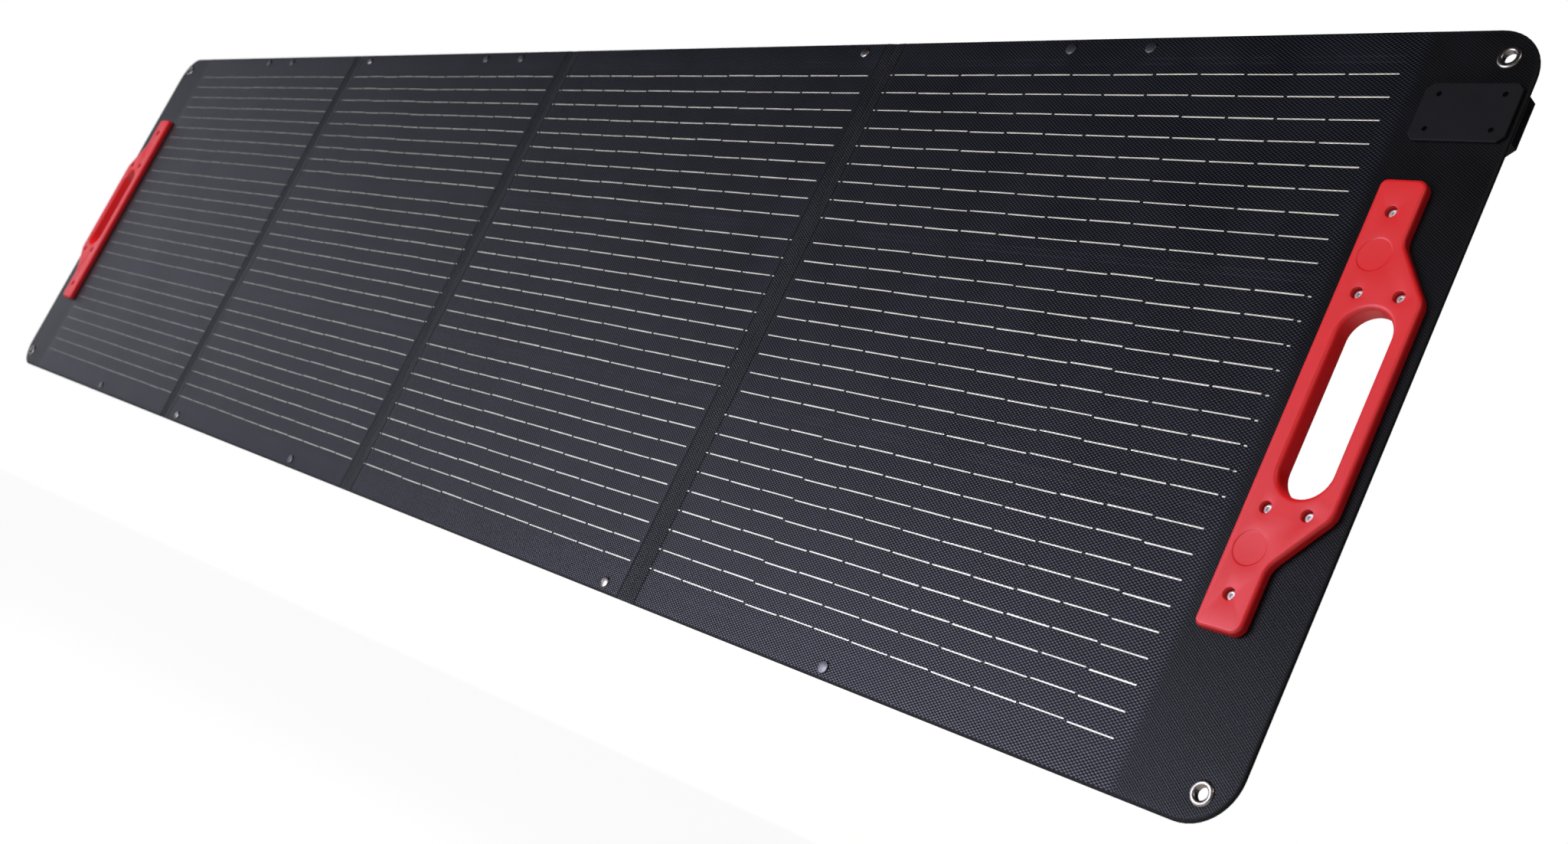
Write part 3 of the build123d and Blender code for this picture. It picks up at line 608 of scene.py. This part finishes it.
for n in (1, 2, 3, 4):
    name = f"panel_{n}"
    left, right = LAMINATE[n]
    if n in (2, 3):
        loops = [rectangle(left, right, -HALF_HEIGHT, HALF_HEIGHT, 0, 12)]
    else:
        loops = [end_outline(left if n == 4 else -right), hole(stadium(2.8))]
        loops += [hole(circle(x, z, 5.1)) for x, z in EYELETS]
    laminate = slab(loops, FRONT, BOARD_BACK, step=11, front_rim=0.9, spread=2.4)
    laminate.move(end_drop)
    laminate.move(lambda x, y, z: front_sag(-x if n == 1 else x, y, z))
    piece = laminate.piece(f"{name}_laminate", [FILM, EDGE, EDGE], mirrored=n == 1)
    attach(piece, name)
    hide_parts(f"{name}_film", f"{name}_encapsulant", f"{name}_cells", f"{name}_board")
    if n in (1, 4):
        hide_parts(f"{name}_end_facing")
    cover = slab(loops, BOARD_BACK, BACK, step=11, front_rim=0.1, back_rim=0.3, slots=(0, 0, 0))
    cover.move(lambda x, y, z: back_sag(-x if n == 1 else x, y, z))
    piece = cover.piece(f"{name}_cover", [COVER], mirrored=n == 1)
    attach(piece, name)
    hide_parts(f"{name}_rear_cover")


def busbars(n):
    """Twelve dashes along each busbar line, one to a cell strip, and the dots where the rows are linked."""
    shell = Shell()
    first = CENTRE[n] - CELL_BLOCK / 2

    def dash(x1, x2, z1, z2, width):
        length = x2 - x1
        tip = np.array([0.0, 0.06, 0.2, 0.4, 0.65])
        middle = np.linspace(1.5, length - 1.5, 6) if length > 5 else np.empty(0)
        t = np.concatenate([tip, middle, length - tip[::-1]]) / length
        near_end = np.minimum(t, 1 - t) * length
        half = width / 2 * np.sqrt(np.clip(1 - (1 - np.clip(near_end / (width / 2), 0, 1)) ** 2, 0.12, 1))
        half *= 1 + 0.08 * np.sin(t * 9 + z1)
        x = x1 + t * length
        z = z1 + (z2 - z1) * t
        y = FRONT - 0.035
        start = len(shell.points)
        for at, middle, side in zip(x, z, half):
            shell.points += [(at, y, middle - side), (at, y - 0.05, middle), (at, y, middle + side)]
        shell.tube([[start + 3 * i + k for k in range(3)] for i in range(len(x))])

    for row in (1, 0, -1):
        tilt = [rng.gauss(0, 0.003) for _ in range(STRIPS)]
        shift = [rng.gauss(0, 0.22) for _ in range(STRIPS)]
        for k in range(BUSBARS):
            z = row * ROW_PITCH + (k - (BUSBARS - 1) / 2) * WAFER / BUSBARS
            for i in range(STRIPS):
                x1 = first + i * STRIP_PITCH + 0.7 + rng.uniform(-0.2, 0.2)
                x2 = first + (i + 1) * STRIP_PITCH - STRIP_GAP - 0.7 + rng.uniform(-0.2, 0.2)
                middle = z + shift[i] + rng.gauss(0, 0.05)
                lean = tilt[i] * (x2 - x1) / 2
                dash(x1, x2, middle - lean, middle + lean, 1.0 + rng.uniform(-0.1, 0.14))
            side = 1 if row == 0 else -1
            dot = CENTRE[n] + side * (CELL_BLOCK / 2 + 3.6)
            dash(dot - 1.35, dot + 1.35, z + shift[0], z + shift[0], 1.0)
    shell.move(lambda x, y, z: sag(x, z))
    piece = shell.piece(f"panel_{n}_busbars", [RIBBON])
    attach(piece, f"panel_{n}")
    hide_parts(f"panel_{n}_ribbons")


for n in (1, 2, 3, 4):
    busbars(n)


def fold_strip(number, x_fold, wrap):
    """The thin, flexible strip between two panels: a soft valley with a crease down the middle."""
    shell = Shell()
    across = np.unique(np.concatenate([np.linspace(-STRIP_HALF, -wrap, 9), np.linspace(-wrap, wrap, 17), np.linspace(wrap, STRIP_HALF, 9)]))
    levels = np.linspace(-HALF_HEIGHT, HALF_HEIGHT, 91)
    phase = rng.uniform(0, 6.3)
    rings = []
    for z in levels:
        pinch = 0.3 if abs(z) > HALF_HEIGHT - 1 else 0.0
        t = np.abs(across) / STRIP_HALF
        wander = 0.5 * math.sin(z / 47 + phase) + 0.3 * math.sin(z / 19 + phase * 2)
        crease = 0.28 * np.exp(-((across - wander) / 0.9) ** 2)
        ripple = 0.06 * np.sin(z / 7.3 + across * 0.4 + phase) * (1 - t ** 2)
        front = FRONT + 0.12 + 0.5 * (1 - t ** 2) + crease + ripple + pinch
        front = np.where(t > 0.999, FRONT + 0.25, front)
        back = BACK - 0.1 + 0.1 * t - 0.2 * np.exp(-(across / 1.2) ** 2) - pinch
        start = len(shell.points)
        shell.points += [(x_fold + x, y, z) for x, y in zip(across, front)]
        shell.points += [(x_fold + x, y, z) for x, y in zip(across[::-1], back[::-1])]
        rings.append(list(range(start, start + 2 * len(across))))
    half = len(across)
    for a, b in zip(rings, rings[1:]):
        for i in range(2 * half):
            j = (i + 1) % (2 * half)
            shell.faces.append((a[i], a[j], b[j], b[i]))
            shell.slots.append(0 if i < half - 1 else (1 if half <= i < 2 * half - 1 else 2))
    for ring, flip in ((rings[0], True), (rings[-1], False)):
        for i in range(half - 1):
            quad = (ring[i], ring[i + 1], ring[2 * half - 2 - i], ring[2 * half - 1 - i])
            shell.faces.append(quad[::-1] if flip else quad)
            shell.slots.append(2)
    piece = shell.piece(f"fold_strip_{number}", [FOLD_FILM, COVER, EDGE])
    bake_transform(piece)


for number, x_fold, wrap in ((1, FOLDS[0], 3.5), (2, FOLDS[1], 5.7), (3, FOLDS[2], 3.5)):
    fold_strip(number, x_fold, wrap)

# ---- Handles -------------------------------------------------------------------------------------------------------

def handle_outline():
    """The right handle, anticlockwise: a straight inner side, and an outer side stepping out round the hand slot."""
    upper = [(1092.8, 154.5, 8.0), (1058.6, 154.5, 5.0)]
    corners = [(1058.6, -154.5, 5.0), (1092.8, -154.5, 8.0), (1092.8, -109.6, 16.0), (1121.8, -71.8, 14.0),
               (1121.8, 71.8, 14.0), (1092.8, 109.6, 16.0)] + upper
    return rounded(corners, 10)


def handle_half(side, front):
    """One half of a handle. The front half has screw recesses, magnet rings and a collar through the sheet."""
    shell = Shell()
    slot = hole(stadium(0, 16))
    if front:
        top = FACING - 6.6
        outer, outer_back = shell.wall(handle_outline(), rim(2.6, top, steps=8) + [(0, FACING - 0.3), (0.3, FACING)])
        lip = [(0, BACK), (2.5, BACK), (2.5, FACING)]
        inner, inner_back = shell.wall(slot, rim(3.6, top, steps=8) + lip)
        surface = [outer, inner]
        for x, z in SCREWS:
            profile = rim(0.6, top, steps=4) + [(0.1, top + 5.0)]
            mouth, floor = shell.wall(hole(circle(x, z, 4.0, 28)), profile)
            shell.cap([floor], 0)
            surface.append(mouth)
        for x, z in MAGNETS:
            edge = [(0.5, top), (0.25, top + 0.04), (0.0, top + 0.16), (-0.2, top + 0.32), (-0.5, top + 0.42), (-0.9, top + 0.45)]
            mouth, floor = shell.wall(hole(circle(x, z, 11.75, 56)), edge)
            shell.cap([floor], 0)
            surface.append(mouth)
        shell.cap(surface, 0)
        shell.cap([outer_back, inner_back], 0, backwards=True)
    else:
        end = BACK + 5.5
        face = rim(2.0, end, -1, 8)[::-1]
        outer_front, outer = shell.wall(handle_outline(), [(0.3, BACK), (0, BACK + 0.3)] + face)
        inner_front, inner = shell.wall(slot, [(0, BACK)] + rim(2.6, end, -1, 8)[::-1])
        shell.cap([outer_front, inner_front], 0)
        shell.cap([outer, inner], 0, backwards=True)
    name = "left" if side < 0 else "right"
    half = "front" if front else "rear"
    piece = shell.piece(f"{name}_handle_{half}_shell", [RED], 40, mirrored=side < 0)
    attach(piece, "panel_1" if side < 0 else "panel_4")
    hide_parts(f"{name}_handle_{half}")


def end_metal(side):
    """The screws and eyelets of one end."""
    name, body = ("left", "panel_1") if side < 0 else ("right", "panel_4")
    screws = Shell()
    seat = FACING - 1.6
    for x, z in SCREWS:
        head = [(0, seat - 0.6), (1.6, seat - 0.6), (1.6, seat - 1.6), (1.8, seat - 1.7), (2.5, seat - 1.7)]
        head += [(3.05, seat - 1.55), (3.3, seat - 1.1), (3.3, seat), (2.0, seat), (2.0, BACK + 4), (0, BACK + 4)]
        screws.lathe((x, z), head, 36, six_sided=(1, 2))
    piece = screws.piece(f"{name}_screws", [STEEL], 35, mirrored=side < 0)
    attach(piece, body)
    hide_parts(f"{name}_handle_screws")
    rings = Shell()
    for x, z in EYELETS:
        dome = [(4.3 + 1.95 * (1 - math.cos(a)), FACING - 1.1 * math.sin(a) - 0.1) for a in np.linspace(0, math.pi, 13)]
        rolled = [(4.3 + 1.1 * (1 - math.cos(a)), BACK + 0.7 + 0.75 * math.sin(a)) for a in np.linspace(math.pi, 0, 9)]
        rings.lathe((x, z), [(5.0, BACK + 0.7)] + rolled + dome + [(8.1, FACING), (5.0, FACING), (5.0, BACK + 0.7)], 40)
        rings.lathe((x, z), [(5.1, BACK), (8.2, BACK), (8.2, BACK + 0.45), (7.9, BACK + 0.7), (5.1, BACK + 0.7), (5.1, BACK)], 40)
    piece = rings.piece(f"{name}_eyelet_rings", [NICKEL], 40, mirrored=side < 0)
    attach(piece, body)
    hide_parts(f"{name}_eyelets")


for side in (-1, 1):
    handle_half(side, True)
    handle_half(side, False)
    end_metal(side)


# ---- Snaps and rivets ----------------------------------------------------------------------------------------------

CAP_Z = 258.5
CLOSURE_X = 490.0


def dome(radius, height, base, rim_height=0.35, flat=0.0):
    """A pressed cap's profile, from its crown to its rim, standing towards -Y from a base."""
    points = [(0, base - height)]
    for t in np.linspace(0, 1, 9)[1:]:
        points.append((radius * (flat + (1 - flat) * math.sin(t * math.pi / 2)), base - rim_height - (height - rim_height) * math.cos(t * math.pi / 2)))
    return points + [(radius, base - 0.12), (radius - 0.12, base)]


for end, x, body in (("studs", -CLOSURE_X, "panel_2"), ("sockets", CLOSURE_X, "panel_3")):
    shell = Shell()
    for z in (CAP_Z, -CAP_Z):
        shell.lathe((x, z), dome(4.9, 1.4, FRONT) + [(1.5, FRONT), (1.5, BACK + 0.5), (0, BACK + 0.5)], 32)
        if end == "studs":
            shell.lathe((x, z), [(0, BACK), (4.5, BACK), (4.5, BACK + 0.5), (4.2, BACK + 0.75), (2.3, BACK + 1.0),
                                 (1.75, BACK + 1.4), (1.75, BACK + 2.4), (2.0, BACK + 2.8), (2.0, BACK + 3.3),
                                 (1.5, BACK + 3.8), (0, BACK + 3.9)], 32)
        else:
            shell.lathe((x, z), [(1.6, BACK), (4.9, BACK), (4.9, BACK + 1.0), (4.5, BACK + 1.3), (3.8, BACK + 1.5),
                                 (3.6, BACK + 2.1), (3.3, BACK + 2.3), (2.8, BACK + 2.3), (2.5, BACK + 2.0),
                                 (2.5, BACK + 0.7), (1.6, BACK + 0.6), (1.6, BACK)], 32)
    piece = shell.piece(f"closure_snap_{end}_pressed", [NICKEL], 50)
    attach(piece, body)
    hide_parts(f"closure_snap_{end}")


# ---- Kickstands ----------------------------------------------------------------------------------------------------

HINGE_Z = 246.0
LEG_FRONT = BACK + 0.3
LEG_BACK = BACK + 2.7
LEG_END_Z = -264.0
ANCHOR_BACK = BACK + 1.2


def leg_outline(x, inset=0.0):
    corners = [(x - 31, LEG_END_Z, 20), (x + 31, LEG_END_Z, 20), (x + 55, HINGE_Z - 1, 0), (x - 55, HINGE_Z - 1, 0)]
    loop = rounded(corners, 10, 10)
    return offset(loop, inset) if inset else loop


def stitches(path, y, outward, length=3.0, gap=1.3, width=0.55, closed=True):
    """Thread laid in short stitches along a path of (x, z) points, standing slightly proud of the fabric."""
    shell = Shell()
    loop = np.vstack([path, path[:1]]) if closed else np.array(path)
    steps = np.linalg.norm(np.diff(loop, axis=0), axis=1)
    along = np.concatenate([[0], np.cumsum(steps)])
    at = 0.0
    while at + length < along[-1]:
        t = np.linspace(at, at + length, 6)
        points = np.stack([np.interp(t, along, loop[:, k]) for k in (0, 1)], 1)
        direction = points[-1] - points[0]
        direction /= np.linalg.norm(direction)
        normal = np.array([-direction[1], direction[0]])
        arch = np.sin(np.linspace(0, math.pi, 6)) * 0.32 - 0.05
        rings = []
        for p, lift in zip(points, arch):
            start = len(shell.points)
            for a in np.arange(6) / 6 * 2 * math.pi:
                side_shift = normal * math.cos(a) * width / 2
                shell.points.append((p[0] + side_shift[0], y + outward * (lift + math.sin(a) * width / 3), p[1] + side_shift[1]))
            rings.append(list(range(start, start + 6)))
        shell.tube(rings)
        at += length + gap
    return shell


def kickstand(n, x):
    name, panel = f"kickstand_{n}", f"panel_{n}"
    shell = Shell()
    bore = hole(circle(x, -CAP_Z, 4.5, 24))
    hollow = 0.35
    outline = leg_outline(x)
    border = [(0.0, LEG_BACK - 1.0), (0.25, LEG_BACK - 0.45), (0.8, LEG_BACK - 0.15), (2.6, LEG_BACK), (4.2, LEG_BACK - 0.05),
              (5.0, LEG_BACK - hollow), (6.0, LEG_BACK - hollow), (7.5, LEG_BACK - 0.05)]
    first, last = shell.wall(outline, [(0.7, LEG_FRONT), (0.2, LEG_FRONT + 0.3), (0.0, LEG_FRONT + 0.9)] + border)
    mouth, floor = shell.wall(bore, [(0, LEG_FRONT), (0, LEG_BACK - 0.6)])
    shell.cap([first, mouth], 0, 12)
    shell.cap([floor], 0)
    shell.cap([last], 0, 12, backwards=True)
    phase = rng.uniform(0, 6.3)
    shell.move(lambda px, py, pz: np.where(py > LEG_BACK - 0.5, -0.12 + 0.10 * np.sin(px / 23 + phase) * np.sin(pz / 51 + phase), 0))
    leg = shell.piece(f"{name}_leg_board", [LEG_FABRIC], 50)
    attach(leg, name)
    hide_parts(f"{name}_leg")
    seam = stitches(leg_outline(x, 5.5), LEG_BACK - hollow, 1).piece(f"{name}_leg_stitching", [THREAD], 60)
    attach(seam, name)
    cap = Shell()
    rear = LEG_BACK
    crown = [(0, rear + 0.8), (3.0, rear + 0.8), (4.6, rear + 0.7), (5.6, rear + 0.55), (6.2, rear + 0.3), (6.2, rear + 0.02)]
    socket = [(0, rear - 0.1), (2.45, rear - 0.1), (2.45, BACK + 0.9), (5.1, BACK + 0.9), (5.1, rear)]
    cap.lathe((x, -CAP_Z), socket + crown[::-1], 32)
    piece = cap.piece(f"{name}_foot_cap", [GUNMETAL], 50)
    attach(piece, name)
    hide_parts(f"{name}_stow_socket")

    anchor = Shell()
    outline = rounded([(x - 55, HINGE_Z + 0.5, 0), (x + 55, HINGE_Z + 0.5, 0), (x + 55, 264.5, 6), (x - 55, 264.5, 6)], 8, 8)
    front_ring, back_ring = anchor.wall(outline, through(BACK, ANCHOR_BACK, 0.2, 0.55))
    anchor.cap([front_ring], 0)
    anchor.cap([back_ring], 0, backwards=True)
    piece = anchor.piece(f"{name}_anchor_strip", [LEG_FABRIC], 50)
    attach(piece, panel)
    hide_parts(f"{name}_anchor")
    seam = stitches(offset(outline, 2.2), ANCHOR_BACK - 0.1, 1).piece(f"{name}_anchor_stitching", [THREAD], 60)
    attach(seam, panel)

    rivets = Shell()
    end = ANCHOR_BACK
    for side in (-40, 40):
        rivets.lathe((x + side, CAP_Z), [(0, FRONT - 1.0), (4.3, FRONT - 1.0), (4.75, FRONT - 0.85), (5.0, FRONT - 0.5),
                                         (5.0, FRONT), (1.5, FRONT), (1.5, end + 0.6), (0, end + 0.6)], 32)
        rivets.lathe((x + side, CAP_Z), [(1.6, end), (4.2, end), (4.2, end + 0.4), (3.9, end + 0.72), (3.0, end + 0.8),
                                         (2.1, end + 0.55), (1.6, end + 0.5), (1.6, end)], 32)
    rivets.lathe((x, -CAP_Z), [(0, FRONT - 1.0), (4.3, FRONT - 1.0), (4.75, FRONT - 0.85), (5.0, FRONT - 0.5),
                               (5.0, FRONT), (1.5, FRONT), (1.5, BACK + 0.5), (0, BACK + 0.5)], 32)
    rivets.lathe((x, -CAP_Z), [(0, BACK), (4.4, BACK), (4.4, BACK + 0.4), (4.1, BACK + 0.6), (2.2, BACK + 0.75),
                               (1.8, BACK + 1.0), (2.0, BACK + 1.4), (1.7, BACK + 1.8), (0, BACK + 2.0)], 32)
    piece = rivets.piece(f"{name}_rivets", [GUNMETAL], 40)
    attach(piece, panel)
    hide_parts(f"{name}_fasteners")

    flap = Shell()
    rows = np.concatenate([np.linspace(HINGE_Z + 6, HINGE_Z + 3, 3), np.linspace(HINGE_Z + 2.5, HINGE_Z - 2.5, 11), np.linspace(HINGE_Z - 3, HINGE_Z - 9, 4)])
    columns = np.linspace(x - 53.5, x + 53.5, 28)
    t = smooth_step((HINGE_Z + 3 - rows) / 6)
    over = ANCHOR_BACK + 0.05 + (LEG_BACK - ANCHOR_BACK) * t
    rings = []
    for z, y in zip(rows, over):
        lift = 0.5 - 0.4 * abs(z - HINGE_Z + 1) / 8
        start = len(flap.points)
        ripple = 0.08 * np.sin(columns / 3.1 + z)
        flap.points += [(c, y + lift + r, z) for c, r in zip(columns, ripple)]
        flap.points += [(c, y - 0.1, z) for c in columns[::-1]]
        rings.append(list(range(start, start + 2 * len(columns))))
    for a, b in zip(rings, rings[1:]):
        flap.band(b, a)
    half = len(columns)
    for ring, flip in ((rings[0], True), (rings[-1], False)):
        for i in range(half - 1):
            quad = (ring[i], ring[i + 1], ring[2 * half - 2 - i], ring[2 * half - 1 - i])
            flap.faces.append(quad[::-1] if flip else quad)
            flap.slots.append(0)
    piece = flap.piece(f"{name}_hinge_fabric", [LEG_FABRIC], 60)
    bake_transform(piece)


for n, x in KICKSTANDS.items():
    kickstand(n, x)


# ---- CAD parts that keep their own shape ---------------------------------------------------------------------------

KEPT = {
    "box_plate": BLACK, "box_housing": BLACK, "box_screws": DARK_STEEL, "box_gasket": FOAM, "box_circuit": CIRCUIT,
    "output_socket": BLACK, "socket_lid": RUBBER, "left_handle_inserts": BRASS, "right_handle_inserts": BRASS,
    "left_magnets": MAGNET, "right_magnets": MAGNET,
}
for node, material in KEPT.items():
    data = NODES[node].data
    data.materials.clear()
    data.materials.append(material)


# ---- Floor, light and camera ---------------------------------------------------------------------------------------

def floor():
    s = Surface("pale_floor", (0.9, 0.9, 0.9, 1), 0.9)
    s.set("Emission Color", (1, 1, 1, 1))
    s.set("Emission Strength", s.math("MULTIPLY", s.node("ShaderNodeLightPath"), 0.93))
    data = bpy.data.meshes.new("floor")
    data.from_pydata([(-30, -30, -1.25), (30, -30, -1.25), (30, 30, -1.25), (-30, 30, -1.25)], [], [(0, 1, 2, 3)])
    data.materials.append(s.material)
    obj = bpy.data.objects.new("floor", data)
    bpy.context.scene.collection.objects.link(obj)


def world():
    """White to the camera; to the object, a studio bright round the horizon on its left and dim overhead."""
    made = bpy.data.worlds.new("studio")
    bpy.context.scene.world = made
    made.use_nodes = True
    tree = made.node_tree
    background = tree.nodes["Background"]
    path = tree.nodes.new("ShaderNodeLightPath")
    place = tree.nodes.new("ShaderNodeTexCoord")
    split = tree.nodes.new("ShaderNodeSeparateXYZ")
    height = tree.nodes.new("ShaderNodeMapRange")
    side = tree.nodes.new("ShaderNodeMapRange")
    product = tree.nodes.new("ShaderNodeMath")
    product.operation = "MULTIPLY"
    settings = {height: (0.02, 0.40, 1.0, 0.06), side: (-1.0, -0.78, 1.5, 0.12)}
    for node, values in settings.items():
        node.interpolation_type = "SMOOTHSTEP"
        for key, value in zip(("From Min", "From Max", "To Min", "To Max"), values):
            node.inputs[key].default_value = value
    tree.links.new(height.outputs[0], product.inputs[0])
    tree.links.new(side.outputs[0], product.inputs[1])
    pick = tree.nodes.new("ShaderNodeMix")
    tree.links.new(place.outputs["Generated"], split.inputs[0])
    tree.links.new(split.outputs[2], height.inputs["Value"])
    tree.links.new(split.outputs[0], side.inputs["Value"])
    tree.links.new(path.outputs["Is Camera Ray"], pick.inputs[0])
    tree.links.new(product.outputs[0], pick.inputs[2])
    pick.inputs[3].default_value = 1.0
    tree.links.new(pick.outputs[0], background.inputs["Strength"])
    tint = tree.nodes.new("ShaderNodeMix")
    tint.data_type = "RGBA"
    tree.links.new(path.outputs["Is Camera Ray"], tint.inputs[0])
    tint.inputs[6].default_value = (0.93, 0.96, 1.1, 1)
    tint.inputs[7].default_value = (1, 1, 1, 1)
    tree.links.new(tint.outputs[2], background.inputs["Color"])


def light(name, place, target, size, power, glossy=True, diffuse=True, colour=(1, 1, 1)):
    data = bpy.data.lights.new(name, "AREA")
    data.shape = "RECTANGLE"
    data.size, data.size_y = size
    data.energy = power
    data.color = colour
    obj = bpy.data.objects.new(name, data)
    bpy.context.scene.collection.objects.link(obj)
    back = np.array(place, float) - np.array(target, float)
    back /= np.linalg.norm(back)
    side = np.cross((0, 0, 1), back)
    side /= np.linalg.norm(side)
    up = np.cross(back, side)
    obj.matrix_world = Matrix([(side[k], up[k], back[k], place[k]) for k in range(3)] + [(0, 0, 0, 1)])
    obj.visible_glossy = glossy
    obj.visible_diffuse = diffuse
    obj.visible_camera = False


def camera():
    """At the photograph's viewing angle: right of the sheet, below its middle, and rolled."""
    data = bpy.data.cameras.new("camera")
    data.lens = 41.832
    data.sensor_width = 36.0
    data.clip_start = 0.05
    data.dof.use_dof = True
    data.dof.focus_distance = 1.3
    data.dof.aperture_fstop = 14
    obj = bpy.data.objects.new("camera", data)
    bpy.context.scene.collection.objects.link(obj)
    right, up, back = (0.62020, 0.65826, 0.42667), (-0.14478, -0.43852, 0.88699), (0.77097, -0.61188, -0.17667)
    place = (1.7311, -0.8887, -0.3447)
    obj.matrix_world = Matrix([(right[k], up[k], back[k], place[k]) for k in range(3)] + [(0, 0, 0, 1)])
    bpy.context.scene.camera = obj


floor()
world()
light("key", (-0.6, -3.6, 1.6), (0.4, 0, 0), (2.4, 1.8), 125, glossy=False)
light("low_window", (-0.85, -2.4, -0.45), (0.9, 0, -0.2), (1.9, 1.1), 46, diffuse=False, colour=(0.9, 0.92, 1.18))
light("rear", (-0.2, 1.9, 2.4), (0, 0, 0), (2.2, 0.8), 95, glossy=False)
light("glint", (2.2, -2.2, 1.4), (1.0, 0, 0), (0.8, 0.8), 9)
camera()
bpy.context.scene.view_settings.view_transform = "Standard"
